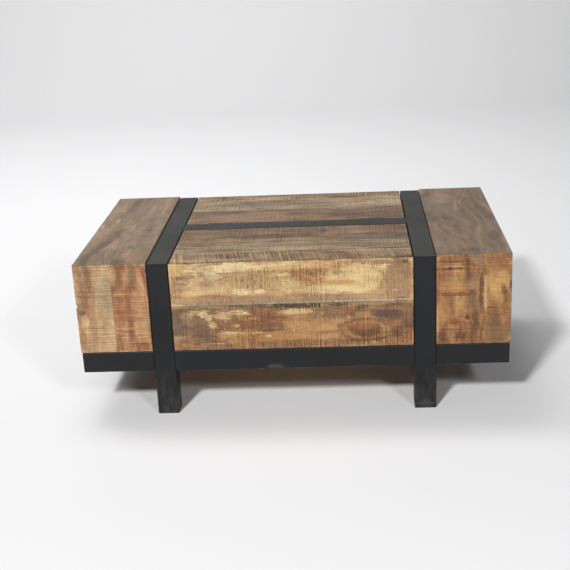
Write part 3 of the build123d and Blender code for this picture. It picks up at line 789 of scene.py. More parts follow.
front_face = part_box("front_upper_board")[0].y
rear_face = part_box("rear_upper_board")[1].y
upper_wood = wood("front_upper_wood", "front_upper_board", "X", 1.3, HONEY, PANEL_PITCH,
                  lines=0.42, ticks=0.62, tick_length=15.0, patchiness=0.7, patches=UPPER_PATCHES,
                  rough_spots=UPPER_ROUGH, arris_dark=0.12, shade=0.68)
lower_wood = wood("front_lower_wood", "front_lower_board", "X", 2.1, AMBER, PANEL_PITCH,
                  lines=0.55, ticks=0.58, tick_length=24.0, patches=LOWER_PATCHES,
                  rough_spots=LOWER_ROUGH, arris_dark=0.12, shade=0.62)
panel("front_upper_board", upper_wood, 1.3, front_face)
panel("front_lower_board", lower_wood, 2.1, front_face, mitred=False)
print("front panel sawn")

# %% Rear panel
REAR_UPPER_PATCHES = (
    (0.25, 0.45, 95, 34, CREAM, 0.75, 0.30, 0.25),
    (0.70, 0.80, 120, 18, CREAM, 0.60, 0.55, 0.45),
    (0.55, 0.30, 40, 16, BROWN, 0.60, 0.40, 0.40),
    (0.50, 0.02, 400, 9, ASH, 0.70, 0.45, 0.50),
)
REAR_LOWER_PATCHES = (
    (0.50, 1.00, 400, 10, ASH, 0.75, 0.40, 0.45),
    (0.35, 0.92, 120, 8, STAIN, 0.75, 0.55, 0.50),
    (0.65, 0.60, 60, 18, CREAM, 0.60, 0.60, 0.35),
    (0.15, 0.35, 40, 26, paint(112, 82, 62), 0.50, 0.60, 0.50),
)
rear_upper_wood = wood("rear_upper_wood", "rear_upper_board", "X", 4.7, HONEY, PANEL_PITCH,
                       lines=0.20, patches=REAR_UPPER_PATCHES)
rear_lower_wood = wood("rear_lower_wood", "rear_lower_board", "X", 5.9, AMBER, PANEL_PITCH,
                       lines=0.26, ticks=0.5, patches=REAR_LOWER_PATCHES)
panel("rear_upper_board", rear_upper_wood, 4.7, rear_face)
panel("rear_lower_board", rear_lower_wood, 5.9, rear_face, mitred=False)
print("rear panel sawn")

# %% [markdown]
# ## The end blocks
#
# The front and rear of each end block are two upright boards, so their grain stands and the saw
# marks lie flat. The top is one board with its grain running back, greyer from years of light. The
# top is mitred onto the front and rear, and the end face is closed by two boards along the depth.

# %% End blocks
TAN = (paint(150, 112, 80), paint(188, 150, 110), paint(208, 172, 128), paint(226, 196, 148))
RUSSET = (paint(148, 102, 70), paint(184, 136, 96), paint(206, 156, 110), paint(226, 188, 140))
GOLD = (paint(126, 86, 56), paint(166, 118, 76), paint(190, 142, 90), paint(214, 174, 116))
WEATHERED = (paint(104, 87, 72), paint(127, 107, 87), paint(138, 117, 95), paint(158, 135, 110))
GREYED = paint(180, 164, 132)
DARK_KNOT = paint(84, 58, 44)
BLOCK_PITCH = 5.0
TOP_PITCH = 5.5
BLOCK_BOARDS = {
    "left_front_outer_board": (TAN, 11.0, (
        (0.26, 0.61, 11, 40, paint(146, 98, 68), 0.80, 0.60, 0.40),
        (0.80, 0.66, 24, 62, GREYED, 0.60, 0.50, 0.45),
        (0.64, 0.20, 32, 36, paint(214, 180, 136), 0.60, 0.60, 0.45),
        (0.40, 0.30, 9, 60, paint(180, 142, 104), 0.60, 0.90, 0.40),
        (0.72, 0.36, 7, 40, paint(186, 152, 116), 0.55, 0.90, 0.40),
        (0.12, 0.46, 8, 10, DARK_KNOT, 0.75, 0.60, 0.45),
        (0.10, 0.12, 10, 30, paint(166, 112, 74), 0.60, 1.00, 0.45),
        (0.30, 0.94, 26, 10, BROWN, 0.40, 0.70, 0.45))),
    "left_front_inner_board": (RUSSET, 12.0, (
        (0.08, 0.88, 7, 24, paint(212, 176, 128), 0.70, 0.50, 0.40),
        (0.56, 0.88, 6, 17, paint(150, 138, 110), 0.75, 0.60, 0.40),
        (0.78, 0.38, 14, 52, paint(200, 164, 122), 0.65, 0.60, 0.45),
        (0.30, 0.54, 30, 36, paint(186, 128, 84), 0.55, 0.60, 0.45),
        (0.35, 0.46, 26, 6, RUST, 0.60, 0.90, 0.45),
        (0.44, 0.38, 26, 8, RUST, 0.60, 0.90, 0.45),
        (0.38, 0.23, 12, 4, paint(128, 76, 48), 0.80, 0.60, 0.40),
        (0.72, 0.07, 22, 8, paint(142, 92, 60), 0.70, 0.80, 0.40),
        (0.46, 0.665, 44, 1.8, paint(226, 180, 122), 0.70, 0.80, 0.40),
        (0.30, 0.27, 34, 2.0, paint(228, 180, 122), 0.75, 0.80, 0.40),
        (0.46, 0.425, 44, 1.6, paint(218, 168, 112), 0.55, 0.90, 0.40))),
    "right_front_inner_board": (GOLD, 13.0, (
        (0.75, 0.47, 12, 24, paint(168, 142, 106), 0.55, 0.60, 0.45),
        (0.77, 0.66, 13, 13, paint(190, 164, 126), 0.65, 0.50, 0.45),
        (0.88, 0.94, 12, 14, paint(172, 152, 124), 0.65, 0.60, 0.45),
        (0.33, 0.64, 34, 11, paint(208, 152, 90), 0.65, 0.50, 0.40),
        (0.33, 0.92, 32, 2.6, paint(104, 66, 42), 0.85, 0.50, 0.35),
        (0.33, 0.866, 28, 1.5, STRAW_YELLOW, 0.50, 0.80, 0.35),
        (0.32, 0.845, 30, 2.6, paint(98, 62, 40), 0.85, 0.50, 0.35),
        (0.28, 0.85, 5, 4, DARK_KNOT, 0.85, 0.50, 0.35),
        (0.42, 0.56, 46, 4, paint(124, 74, 48), 0.75, 0.60, 0.40),
        (0.955, 0.57, 5.5, 48, paint(120, 64, 40), 0.90, 0.35, 0.35),
        (0.67, 0.30, 7, 7, DARK_KNOT, 0.95, 0.60, 0.30),
        (0.39, 0.26, 13, 8, RUST, 0.80, 0.70, 0.35),
        (0.53, 0.10, 13, 11, paint(108, 68, 56), 0.85, 0.70, 0.35))),
    "right_front_outer_board": (GOLD, 14.0, (
        (0.50, 0.64, 24, 42, paint(222, 178, 114), 0.85, 0.60, 0.35),
        (0.38, 0.88, 15, 24, paint(160, 110, 66), 0.55, 0.50, 0.40),
        (0.45, 0.13, 38, 28, paint(146, 116, 82), 0.80, 0.50, 0.40),
        (0.06, 0.51, 4.5, 36, paint(228, 188, 138), 0.85, 0.50, 0.35),
        (0.28, 0.405, 12, 2.0, paint(112, 70, 42), 0.85, 0.50, 0.35),
        (0.72, 0.60, 4, 14, paint(112, 74, 46), 0.90, 0.80, 0.30),
        (0.80, 0.53, 5, 15, paint(118, 78, 48), 0.85, 0.80, 0.30),
        (0.97, 0.64, 3.5, 12, DARK_KNOT, 0.85, 0.70, 0.30))),
    "left_rear_outer_board": (RUSSET, 15.0, ((0.5, 0.6, 20, 40, GREYED, 0.6, 0.6, 0.4),)),
    "left_rear_inner_board": (TAN, 16.0, ((0.4, 0.3, 24, 30, RUST, 0.6, 0.7, 0.4),)),
    "right_rear_inner_board": (RUSSET, 17.0, ((0.6, 0.7, 30, 40, CREAM, 0.5, 0.8, 0.4),)),
    "right_rear_outer_board": (TAN, 18.0, ((0.4, 0.4, 16, 30, RUST, 0.6, 0.7, 0.4),)),
}
END_BOARDS = {
    "left_end_upper_board": (HONEY, 21.0, (
        (0.35, 0.5, 90, 24, CREAM, 0.7, 0.7, 0.3), (0.80, 0.3, 50, 14, BROWN, 0.7, 0.7, 0.4))),
    "left_end_lower_board": (AMBER, 22.0, (
        (0.6, 0.55, 80, 30, GREYED, 0.6, 0.7, 0.4), (0.25, 0.6, 14, 9, DARK_KNOT, 0.8, 0.6, 0.4))),
    "right_end_upper_board": (GOLD, 23.0, (
        (0.7, 0.5, 110, 20, CREAM, 0.6, 0.8, 0.3), (0.30, 0.6, 60, 16, BROWN, 0.6, 0.7, 0.4))),
    "right_end_lower_board": (AMBER, 24.0, (
        (0.3, 0.5, 60, 26, STRAW_YELLOW, 0.6, 0.9, 0.3), (0.75, 0.6, 30, 12, STAIN, 0.6, 0.7, 0.4))),
}
# The left boards give back more of their light than the right ones: painted light, for the stronger light
# on the left of the chest, over their own palettes.
for node, (palette, seed, patches) in BLOCK_BOARDS.items():
    finish = wood(f"{node}_wood", node, "Z", seed, palette, BLOCK_PITCH, lines=0.55, ticks=0.60,
                  tick_length=30.0, patchiness=0.5, band_width=16.0, patches=patches,
                  arris_dark=0.15, shade=0.66 if node.startswith("left") else 0.62)
    board = sawn_board(node, finish, "Z", seed, BLOCK_PITCH, arris=0.5, chip=1.2)
    low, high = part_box(node)
    mitre(board, 2, high.z, 1, low.y if "front" in node else high.y, BOARD_THICKNESS)
    if node == "left_front_outer_board":
        knock_edge(board, (low.x, low.y, 0.277), 6 * MM, 3 * MM)
    settle(board, node)
for node, (palette, seed, patches) in END_BOARDS.items():
    finish = wood(f"{node}_wood", node, "Y", seed, palette, PANEL_PITCH, lines=0.25, patches=patches)
    settle(sawn_board(node, finish, "Y", seed, PANEL_PITCH), node)
TOP_BOARDS = {
    "left_top_board": (31.0, (
        (0.23, 0.62, 5, 24, paint(190, 152, 128), 0.75, 0.2, 0.4),
        (0.05, 0.53, 3, 18, paint(214, 186, 150), 0.80, 0.2, 0.4),
        (0.60, 0.04, 16, 16, paint(88, 66, 54), 0.55, 0.5, 0.5),
        (0.80, 0.10, 30, 40, paint(164, 122, 92), 0.5, 0.5, 0.5),
        (0.45, 0.78, 22, 80, paint(132, 108, 92), 0.5, 0.4, 0.5))),
    "right_top_board": (32.0, (
        (0.38, 0.375, 9, 11, paint(84, 66, 54), 0.80, 0.2, 0.45),
        (0.30, 0.62, 22, 60, paint(116, 104, 96), 0.55, 0.4, 0.5),
        (0.35, 0.12, 40, 30, paint(160, 124, 90), 0.5, 0.5, 0.5),
        (0.50, 0.05, 24, 12, paint(86, 72, 64), 0.55, 0.5, 0.5))),
}
# The right top board gives back less of its light than the left: painted shade, for the weaker light that
# falls on the right of the chest.
for node, (seed, patches) in TOP_BOARDS.items():
    finish = wood(f"{node}_wood", node, "Y", seed, WEATHERED, TOP_PITCH, lines=0.16, ticks=0.30,
                  band_width=14.0, patches=patches, roughness=0.5,
                  shade=0.90 if node.startswith("left") else 0.80)
    board = sawn_board(node, finish, "Y", seed, TOP_PITCH, chip=1.4)
    low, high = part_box(node)
    for end in (low.y, high.y):
        mitre(board, 1, end, 2, high.z, BOARD_THICKNESS)
    settle(board, node)
print(len(BLOCK_BOARDS) + len(END_BOARDS) + len(TOP_BOARDS), "end block boards sawn")

# %% [markdown]
# ## The lids
#
# Each lid is three planks side by side. They differ in tone as reclaimed planks do: reddish by the
# bar, paler with dark patches in the middle, and pinkish at the mitred edge, where the saw ran at
# a slant and left its deepest marks. The plank by the bar is hollowed round the hinge knuckles, or
# the hinges would bite into the wood. A carpenter planes that hollow along the edge; here the sawn
# plank is cut by the shape of its CAD plank, which has it already.

# %% Lid planks
ROSE = (paint(110, 88, 66), paint(156, 130, 98), paint(178, 150, 112), paint(200, 174, 134))
STRAW = (paint(120, 102, 78), paint(154, 134, 104), paint(168, 148, 114), paint(184, 164, 126))
OLIVE = (paint(98, 84, 66), paint(138, 120, 98), paint(152, 132, 106), paint(178, 158, 126))
MAUVE = (paint(92, 72, 54), paint(125, 98, 73), paint(137, 110, 82), paint(160, 134, 100))
SLATE = paint(116, 111, 101)
LID_PLANKS = {
    "front_lid_inner_plank": (MAUVE, 0.82, 41.0, 5.0, 0.0, 0.8, (
        (0.30, 0.16, 170, 17, paint(164, 140, 106), 0.85, 0.70, 0.35),
        (0.63, 0.68, 11, 16, paint(84, 74, 74), 0.85, 0.50, 0.45),
        (0.90, 0.12, 60, 22, SLATE, 0.80, 0.50, 0.45),
        (0.84, 0.80, 70, 18, paint(148, 110, 76), 0.50, 0.60, 0.45))),
    "front_lid_middle_plank": (STRAW, 0.84, 42.0, 5.0, 0.0, 0.50, (
        (0.08, 0.98, 60, 6, paint(98, 80, 62), 0.80, 0.60, 0.40),
        (0.41, 0.90, 22, 7, SLATE, 0.80, 0.60, 0.45),
        (0.22, 0.22, 80, 12, paint(118, 98, 80), 0.75, 0.80, 0.35),
        (0.46, 0.62, 62, 18, paint(136, 110, 86), 0.70, 0.70, 0.40),
        (0.46, 0.28, 22, 14, paint(186, 158, 114), 0.80, 0.50, 0.35),
        (0.70, 0.64, 34, 12, paint(112, 88, 68), 0.75, 0.70, 0.40),
        (0.85, 0.50, 24, 11, paint(128, 98, 66), 0.70, 0.80, 0.40),
        (0.91, 0.07, 56, 5, paint(92, 66, 44), 0.95, 0.60, 0.35),
        (0.62, 0.04, 70, 5, paint(112, 92, 66), 0.75, 0.60, 0.40))),
    "front_lid_outer_plank": (ROSE, 0.75, 43.0, 8.5, 0.17, 1.10, (
        (0.46, 0.90, 90, 7, paint(112, 94, 70), 0.60, 0.60, 0.40),
        (0.60, 0.30, 110, 26, paint(126, 98, 76), 0.55, 0.60, 0.45),
        (0.92, 0.50, 46, 26, paint(140, 128, 108), 0.70, 0.50, 0.45))),
    "rear_lid_inner_plank": (MAUVE, 0.88, 44.0, 5.0, 0.0, 0.45, (
        (0.25, 0.45, 110, 34, paint(146, 124, 102), 0.60, 0.50, 0.45),
        (0.50, 0.90, 100, 11, paint(100, 82, 62), 0.75, 0.60, 0.40),
        (0.75, 0.60, 34, 26, paint(112, 92, 86), 0.70, 0.60, 0.45),
        (0.95, 0.50, 22, 30, paint(116, 90, 76), 0.60, 0.60, 0.45),
        (0.06, 0.96, 60, 7, paint(104, 82, 62), 0.80, 0.60, 0.40))),
    "rear_lid_middle_plank": (OLIVE, 0.92, 45.0, 5.4, 0.0, 0.50, (
        (0.22, 0.20, 30, 20, paint(172, 150, 122), 0.70, 0.60, 0.40),
        (0.43, 0.20, 44, 18, paint(170, 150, 116), 0.65, 0.60, 0.40),
        (0.40, 0.92, 70, 7, paint(108, 94, 70), 0.75, 0.60, 0.40),
        (0.30, 0.55, 60, 22, paint(116, 102, 84), 0.60, 0.70, 0.40))),
    "rear_lid_outer_plank": (ROSE, 0.74, 46.0, 7.0, 0.0, 0.80, (
        (0.80, 0.60, 60, 18, paint(150, 126, 88), 0.60, 0.60, 0.45),
        (0.15, 0.30, 60, 14, paint(128, 106, 88), 0.60, 0.60, 0.45))),
}
for node, (palette, shade, seed, pitch, slant, strength, patches) in LID_PLANKS.items():
    finish = wood(f"{node}_wood", node, "X", seed, palette, pitch, slant, lines=strength,
                  ticks=0.40, tick_length=60.0, patches=patches, roughness=0.5,
                  shade=shade)
    plank = sawn_board(node, finish, "X", seed, pitch, slant, arris=0.8, chip=0.8)
    if "inner" in node:
        cut_hollows(plank, node, finish)
    if "outer" in node:
        low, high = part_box(node)
        mitre(plank, 1, low.y if "front" in node else high.y, 2, high.z, BOARD_THICKNESS)
    settle(plank, node)
print(len(LID_PLANKS), "lid planks sawn")

# %% [markdown]
# ## Powder-coated steel
#
# The frame is the CAD's own square tube, so it keeps its shape and gets a finish. Powder coat is a
# dark satin skin with a faint orange peel. What faces up is lightened by dust and by a painted sheen,
# the pale reflection that a top catches, and shoes scuff the bottoms of the legs, so both are masks
# over the black.

# %% Steel finish
# The centre and radii of each rubbed spot: one on the front rail, one on the right front foot.
KNOCKS = (
    ((-0.045, -0.298, 0.115), (0.020, 0.030, 0.006)),
    ((0.305, -0.298, 0.012), (0.018, 0.030, 0.005)),
)


def powder_coat(name, shade, dust_and_sheen, scuff):
    """Satin black coating with dust and a painted sheen on top faces, and scuffs near the floor."""
    material = bpy.data.materials.new(name)
    material.use_nodes = True
    tree = material.node_tree
    shader = tree.nodes["Principled BSDF"]
    coordinates = tree.nodes.new("ShaderNodeTexCoord").outputs
    place = coordinates["Object"]
    cloud = noise(tree, on_vectors(tree, "SCALE", place, 7.0), 1.0, 4.0, 0.6)
    colour = blend(tree, remap(tree, cloud, 0.35, 0.65), shade, [0.72 * c for c in shade[:3]] + [1.0])
    # Faces that look up get a lighter grey: dust, and a painted sheen standing for the reflection a top
    # catches.
    facing = add_node(tree, "ShaderNodeSeparateXYZ", {"Vector": coordinates["Normal"]}).outputs["Z"]
    specks = noise(tree, on_vectors(tree, "SCALE", place, 90.0), 1.0, 4.0, 0.7)
    dust_and_sheen_share = arithmetic(tree, "MULTIPLY", remap(tree, facing, 0.6, 0.95),
                         remap(tree, specks, 0.3, 0.8, 0.25, 0.6))
    colour = blend(tree, dust_and_sheen_share, colour, dust_and_sheen)
    height = add_node(tree, "ShaderNodeSeparateXYZ", {"Vector": place}).outputs["Z"]
    smear = noise(tree, on_vectors(tree, "MULTIPLY", place, (60.0, 60.0, 22.0)), 1.0, 4.0, 0.65)
    low_down = remap(tree, height, 0.0, 0.11, 1.0, 0.0)
    rubbed = arithmetic(tree, "MULTIPLY", low_down, remap(tree, smear, 0.38, 0.8))
    for centre, radii in KNOCKS:
        knock = place_group(tree, PATCH, {"Vector": place, "Centre": centre, "Radii": radii,
                                          "Tear": smear, "Ragged": 0.8, "Softness": 0.4})["Mask"]
        rubbed = arithmetic(tree, "MAXIMUM", rubbed, arithmetic(tree, "MULTIPLY", knock, 0.55))
    colour = blend(tree, arithmetic(tree, "MULTIPLY", rubbed, 0.65), colour, scuff)
    tree.links.new(colour, shader.inputs["Base Color"])
    rough = arithmetic(tree, "ADD", remap(tree, cloud, 0.3, 0.7, 0.46, 0.56),
                       arithmetic(tree, "MULTIPLY", arithmetic(tree, "ADD", dust_and_sheen_share, rubbed), 0.2))
    tree.links.new(rough, shader.inputs["Roughness"])
    peel = noise(tree, on_vectors(tree, "SCALE", place, 700.0), 1.0, 1.0)
    bump = add_node(tree, "ShaderNodeBump", {"Height": peel, "Strength": 0.25,
                                             "Distance": 0.0003}).outputs["Normal"]
    tree.links.new(bump, shader.inputs["Normal"])
    shader.inputs["Specular IOR Level"].default_value = 0.28
    return material


def finish_part(node, material):
    """Gives one CAD part its finish."""
    mesh = frame["nodes"][node].data
    mesh.materials.clear()
    mesh.materials.append(material)


def finish_parts(slot, material):
    """Gives every CAD part of a record slot one finish, and returns their names."""
    nodes = [node for node, part_slot in SLOT_OF.items() if part_slot == slot]
    for node in nodes:
        finish_part(node, material)
    return nodes


BLACK = paint(25, 26, 28)
# The first grey is dust with a painted sheen on the top faces; the second is the scuffs near the floor.
steel = powder_coat("black_powder_coat", BLACK, paint(74, 73, 70), paint(92, 89, 84))
print(len(finish_parts("black_steel", steel)), "lengths of steel coated")

# %% [markdown]
# ## Inside timber, panels and small fittings
#
# Posts and battens are planed softwood, the floors and side walls are sanded plywood. Hinges are
# blackened steel and the foot plugs moulded plastic. They show only when a lid is up or from
# below, but they get the same care: grain, a little bump, and roughness that varies.

# %% Planed timber and plywood
def planed(name, grain, palette, seed):
    """Planed wood without saw marks; palette holds dark, middle and pale."""
    material = bpy.data.materials.new(name)
    material.use_nodes = True
    tree = material.node_tree
    shader = tree.nodes["Principled BSDF"]
    place = tree.nodes.new("ShaderNodeTexCoord").outputs["Object"]
    turned = add_node(tree, "ShaderNodeMapping", {
        "Vector": place, "Rotation": TURN_TO_GRAIN[grain],
        "Location": (0.37 * seed, 0.61 * seed, 0.23 * seed)}).outputs[0]
    figure = place_group(tree, GRAIN, {"Vector": turned, "Band Width": 9 * MM, "Banding": 0.7})
    tones = add_node(tree, "ShaderNodeValToRGB", {"Fac": figure["Figure"]})
    tones.color_ramp.elements[0].color = palette[0]
    tones.color_ramp.elements[1].color = palette[2]
    tones.color_ramp.elements.new(0.45).color = palette[1]
    light = arithmetic(tree, "MULTIPLY", remap(tree, figure["Fibres"], 0.0, 1.0, 0.9, 1.06),
                       remap(tree, figure["Pores"], 0.0, 1.0, 1.0, 0.8))
    tree.links.new(on_vectors(tree, "SCALE", tones.outputs["Color"], light),
                   shader.inputs["Base Color"])
    tree.links.new(remap(tree, figure["Tear"], 0.0, 1.0, 0.5, 0.66), shader.inputs["Roughness"])
    bump = add_node(tree, "ShaderNodeBump", {"Height": figure["Fibres"], "Strength": 0.3,
                                             "Distance": 0.0003}).outputs["Normal"]
    tree.links.new(bump, shader.inputs["Normal"])
    return material


SOFTWOOD = (paint(150, 110, 72), paint(196, 158, 112), paint(214, 182, 138))
PLYWOOD = (paint(138, 104, 72), paint(176, 140, 100), paint(192, 158, 116))
finish_parts("inner_timber", planed("planed_softwood", "Z", SOFTWOOD, 51.0))
finish_parts("inner_panel", planed("sanded_plywood", "X", PLYWOOD, 52.0))
lid_timber = planed("lid_batten_softwood", "Y", SOFTWOOD, 53.0)
for node in ("front_lid_battens", "rear_lid_battens", "block_battens"):
    finish_part(node, lid_timber)
print("inside timber planed")

# %% Hinges and feet
def plain_fitting(name, colour, metallic, roughness, spot_scale):
    """A small fitting's finish: one colour broken by handling marks."""
    material = bpy.data.materials.new(name)
    material.use_nodes = True
    tree = material.node_tree
    shader = tree.nodes["Principled BSDF"]
    place = tree.nodes.new("ShaderNodeTexCoord").outputs["Object"]
    spots = noise(tree, on_vectors(tree, "SCALE", place, spot_scale), 1.0, 4.0, 0.65)
    worn = [min(1.0, 1.8 * c) for c in colour[:3]] + [1.0]
    tree.links.new(blend(tree, remap(tree, spots, 0.45, 0.75), colour, worn),
                   shader.inputs["Base Color"])
    tree.links.new(remap(tree, spots, 0.3, 0.7, roughness - 0.08, roughness + 0.1),
                   shader.inputs["Roughness"])
    bump = add_node(tree, "ShaderNodeBump", {"Height": spots, "Strength": 0.2,
                                             "Distance": 0.0002}).outputs["Normal"]
    tree.links.new(bump, shader.inputs["Normal"])
    shader.inputs["Metallic"].default_value = metallic
    return material


finish_parts("hinge_steel", plain_fitting("blackened_steel", paint(52, 51, 50), 0.6, 0.42, 160.0))
finish_parts("foot_plastic", plain_fitting("moulded_plastic", paint(34, 34, 34), 0.0, 0.6, 240.0))
zinc = plain_fitting("zinc_plate", paint(178, 178, 176), 1.0, 0.34, 300.0)
finish_parts("zinc_screws", zinc)
print("fittings finished")

# %% [markdown]
# ## Screw heads
#
# The screws hold the hinge leaves on the lids and the floors on the frame. On the real ones the
# driver goes into a cross pressed in a low dome. Geometry Nodes makes one screw and sets it on
# every place: the head is a fine cube whose square layers are pulled round, with the cross sunk
# where two bars meet, and the shank is a plain rod that tapers into the wood.
#
# A fault is left here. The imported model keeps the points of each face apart, so the boxes found
# below are one for every face of a screw, five to a screw, and each gets a head. The outermost head
# is the right one. Most of the others lie in the tab, the leaf or the wood, but the highest of the
# tab screws reach the top of the floor and show there as dark discs when a lid is up. The shanks
# have no length. Joining points that share a place before they are grouped would mend it.

# %% The screw tree
def screw_tree():
    """A domed screw with a cross recess on every given point, with its head towards a direction."""
    tree, given, out = new_group("Cross-head screw", "GeometryNodeTree", (
        ("Places", "NodeSocketGeometry", None), ("Facing", VECTOR, None),
        ("Head Radius", FLOAT, 0.004), ("Head Height", FLOAT, 0.002),
        ("Shank Radius", FLOAT, 0.0019), ("Shank Length", FLOAT, 0.0125),
        ("Finish", "NodeSocketMaterial", None)), (("Geometry", "NodeSocketGeometry"),))
    tree.is_modifier = True
    cube = add_node(tree, "GeometryNodeMeshCube", {
        "Size": (2.0, 2.0, 1.0), "Vertices X": 19, "Vertices Y": 19, "Vertices Z": 3}).outputs["Mesh"]
    square = add_node(tree, "ShaderNodeSeparateXYZ", {
        "Vector": tree.nodes.new("GeometryNodeInputPosition").outputs[0]}).outputs

    def rounded(value, other):
        shrink = arithmetic(tree, "MULTIPLY_ADD", arithmetic(tree, "MULTIPLY", other, other), -0.5, 1.0)
        return arithmetic(tree, "MULTIPLY", value, arithmetic(tree, "SQRT", shrink))

    flat = add_node(tree, "ShaderNodeCombineXYZ", {
        "X": rounded(square[0], square[1]), "Y": rounded(square[1], square[0])}).outputs[0]
    radius = on_vectors(tree, "LENGTH", flat)
    spans = [arithmetic(tree, "ABSOLUTE", square[axis]) for axis in (0, 1)]
    narrow = arithmetic(tree, "LESS_THAN", arithmetic(tree, "MINIMUM", *spans), 0.17)
    short = arithmetic(tree, "LESS_THAN", arithmetic(tree, "MAXIMUM", *spans), 0.62)
    on_top = arithmetic(tree, "GREATER_THAN", square[2], 0.4)
    cross = arithmetic(tree, "MULTIPLY", arithmetic(tree, "MULTIPLY", narrow, short), 0.5)
    dome = arithmetic(tree, "MULTIPLY", arithmetic(tree, "MULTIPLY", radius, radius), 0.35)
    sunk = arithmetic(tree, "MULTIPLY", on_top, arithmetic(tree, "ADD", cross, dome))
    level = arithmetic(tree, "SUBTRACT", arithmetic(tree, "SUBTRACT", square[2], 0.5), sunk)
    wide = on_vectors(tree, "SCALE", flat, given["Head Radius"])
    high = add_node(tree, "ShaderNodeCombineXYZ", {
        "Z": arithmetic(tree, "MULTIPLY", level, given["Head Height"])}).outputs[0]
    head = add_node(tree, "GeometryNodeSetPosition", {
        "Geometry": cube, "Position": on_vectors(tree, "ADD", wide, high)}).outputs[0]
    shank = add_node(tree, "GeometryNodeMeshCone", {
        "Vertices": 20, "Side Segments": 6, "Radius Top": given["Shank Radius"],
        "Radius Bottom": arithmetic(tree, "MULTIPLY", given["Shank Radius"], 0.7),
        "Depth": given["Shank Length"]}).outputs["Mesh"]
    below = add_node(tree, "ShaderNodeCombineXYZ", {"Z": arithmetic(
        tree, "SUBTRACT", arithmetic(tree, "MULTIPLY", given["Head Height"], -0.8),
        given["Shank Length"])}).outputs[0]
    shank = add_node(tree, "GeometryNodeTransform", {
        "Geometry": shank, "Translation": below}).outputs[0]
    screw = tree.nodes.new("GeometryNodeJoinGeometry")
    tree.links.new(head, screw.inputs[0])
    tree.links.new(shank, screw.inputs[0])
    turn = add_node(tree, "FunctionNodeAlignRotationToVector", {"Vector": given["Facing"]},
                    axis="Z").outputs[0]
    placed = add_node(tree, "GeometryNodeInstanceOnPoints", {
        "Points": given["Places"], "Instance": screw.outputs[0], "Rotation": turn}).outputs[0]
    real = add_node(tree, "GeometryNodeRealizeInstances", {"Geometry": placed}).outputs[0]
    done = add_node(tree, "GeometryNodeSetMaterial", {"Geometry": real, "Material": given["Finish"]})
    tree.links.new(done.outputs[0], out.inputs["Geometry"])
    return tree


SCREW = screw_tree()
print("screw tree with", len(SCREW.nodes), "nodes")

# %% Screws in their places
def separate_boxes(node):
    """The lowest and highest corner of every separate patch of a CAD part's mesh. A patch is one
    face, not one solid, because the mesh keeps the points of each face apart."""
    mesh = frame["nodes"][node].data
    leader = list(range(len(mesh.vertices)))

    def root(index):
        while leader[index] != index:
            leader[index] = leader[leader[index]]
            index = leader[index]
        return index

    for edge in mesh.edges:
        leader[root(edge.vertices[0])] = root(edge.vertices[1])
    groups = {}
    for vertex in mesh.vertices:
        groups.setdefault(root(vertex.index), []).append(vertex.co)
    return [([min(point[axis] for point in points) for axis in range(3)],
             [max(point[axis] for point in points) for axis in range(3)])
            for points in groups.values()]


# The axis of each set, the side its heads face, and the head's radius and height and the shank's
# radius in millimetres.
SCREWS = {
    "tab_screws": (2, -1, 4.0, 2.0, 1.9),
    "front_hinge_screws": (1, 1, 2.8, 1.2, 1.5),
    "rear_hinge_screws": (1, -1, 2.8, 1.2, 1.5),
}
for node, (axis, side, head_radius, head_height, shank_radius) in SCREWS.items():
    boxes = separate_boxes(node)
    places = []
    for low, high in boxes:
        place = [(a + b) / 2 for a, b in zip(low, high)]
        place[axis] = high[axis] if side > 0 else low[axis]
        places.append(place)
    facing = [0.0, 0.0, 0.0]
    facing[axis] = float(side)
    length = boxes[0][1][axis] - boxes[0][0][axis] - head_height * MM
    screws = grown(f"cross_head_{node}", SCREW, {
        "Facing": tuple(facing), "Head Radius": head_radius * MM, "Head Height": head_height * MM,
        "Shank Radius": shank_radius * MM, "Shank Length": length, "Finish": zinc}, places)
    settle(screws, node)
    print(node, len(places), "screw shapes set, five to each real screw")

# %% [markdown]
# ## Weld beads
#
# The frame's outside joints are ground flush before coating, but in the inner corners under the
# box the beads stay. A bead is a row of ripples where each drop of metal froze over the last one,
# so its radius follows a wave along its length, and it thins out at both ends.

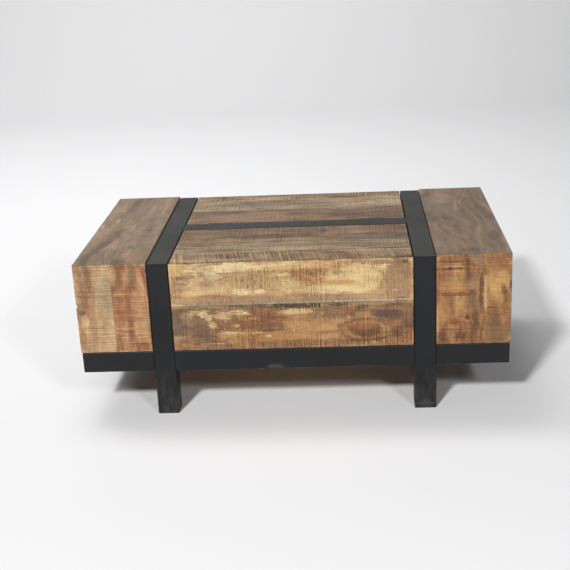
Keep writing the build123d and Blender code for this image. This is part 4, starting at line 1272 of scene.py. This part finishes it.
# %% The weld tree and its beads
def weld_tree():
    """An upright bead of weld metal on every given point."""
    tree, given, out = new_group("Weld bead", "GeometryNodeTree", (
        ("Places", "NodeSocketGeometry", None), ("Length", FLOAT, 0.05), ("Radius", FLOAT, 0.003),
        ("Ripple", FLOAT, 0.002), ("Seed", FLOAT, 0.0), ("Finish", "NodeSocketMaterial", None)),
        (("Geometry", "NodeSocketGeometry"),))
    tree.is_modifier = True
    rod = add_node(tree, "GeometryNodeMeshCylinder", {
        "Vertices": 16, "Side Segments": 110, "Radius": given["Radius"],
        "Depth": given["Length"]}).outputs["Mesh"]
    even = tree.nodes.new("GeometryNodeInputPosition").outputs[0]
    up = add_node(tree, "ShaderNodeSeparateXYZ", {"Vector": even}).outputs["Z"]
    beat = arithmetic(tree, "SINE", arithmetic(
        tree, "MULTIPLY", arithmetic(tree, "DIVIDE", up, given["Ripple"]), math.pi))
    wave = arithmetic(tree, "MULTIPLY", arithmetic(tree, "ABSOLUTE", beat), 0.22)
    uneven = noise(tree, arithmetic(tree, "ADD", arithmetic(tree, "MULTIPLY", up, 160.0),
                                    given["Seed"]), 1.0, 2.0, dimensions="1D")
    from_end = arithmetic(tree, "SUBTRACT", arithmetic(tree, "MULTIPLY", given["Length"], 0.5),
                          arithmetic(tree, "ABSOLUTE", up))
    taper = remap(tree, from_end, 0.0, 0.004, 0.45, 1.0, "SMOOTHSTEP")
    girth = arithmetic(tree, "MULTIPLY", taper, arithmetic(
        tree, "ADD", wave, arithmetic(tree, "MULTIPLY_ADD", uneven, 0.3, 0.6)))
    scale = add_node(tree, "ShaderNodeCombineXYZ", {"X": girth, "Y": girth, "Z": 1.0}).outputs[0]
    bead = add_node(tree, "GeometryNodeSetPosition", {
        "Geometry": rod, "Position": on_vectors(tree, "MULTIPLY", even, scale)}).outputs[0]
    smooth = add_node(tree, "GeometryNodeSetShadeSmooth", {"Geometry": bead}).outputs[0]
    placed = add_node(tree, "GeometryNodeInstanceOnPoints", {
        "Points": given["Places"], "Instance": smooth}).outputs[0]
    real = add_node(tree, "GeometryNodeRealizeInstances", {"Geometry": placed}).outputs[0]
    done = add_node(tree, "GeometryNodeSetMaterial", {"Geometry": real, "Material": given["Finish"]})
    tree.links.new(done.outputs[0], out.inputs["Geometry"])
    return tree


WELD = weld_tree()
rail_low, rail_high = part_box("front_rail_centre")
cross_low, cross_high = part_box("left_cross_rail")
BEAD_OUT = 0.7 * MM
corner_y = rail_high.y + BEAD_OUT
corners = [(side * x, end * corner_y, (rail_low.z + rail_high.z) / 2)
           for side in (-1, 1) for end in (-1, 1)
           for x in (cross_low.x - BEAD_OUT, cross_high.x + BEAD_OUT)]
beads = grown("weld_beads", WELD, {
    "Length": rail_high.z - rail_low.z, "Radius": 2.8 * MM, "Ripple": 1.9 * MM, "Seed": 3.7,
    "Finish": steel}, corners)
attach(beads, "chest")
print(len(corners), "weld beads laid")
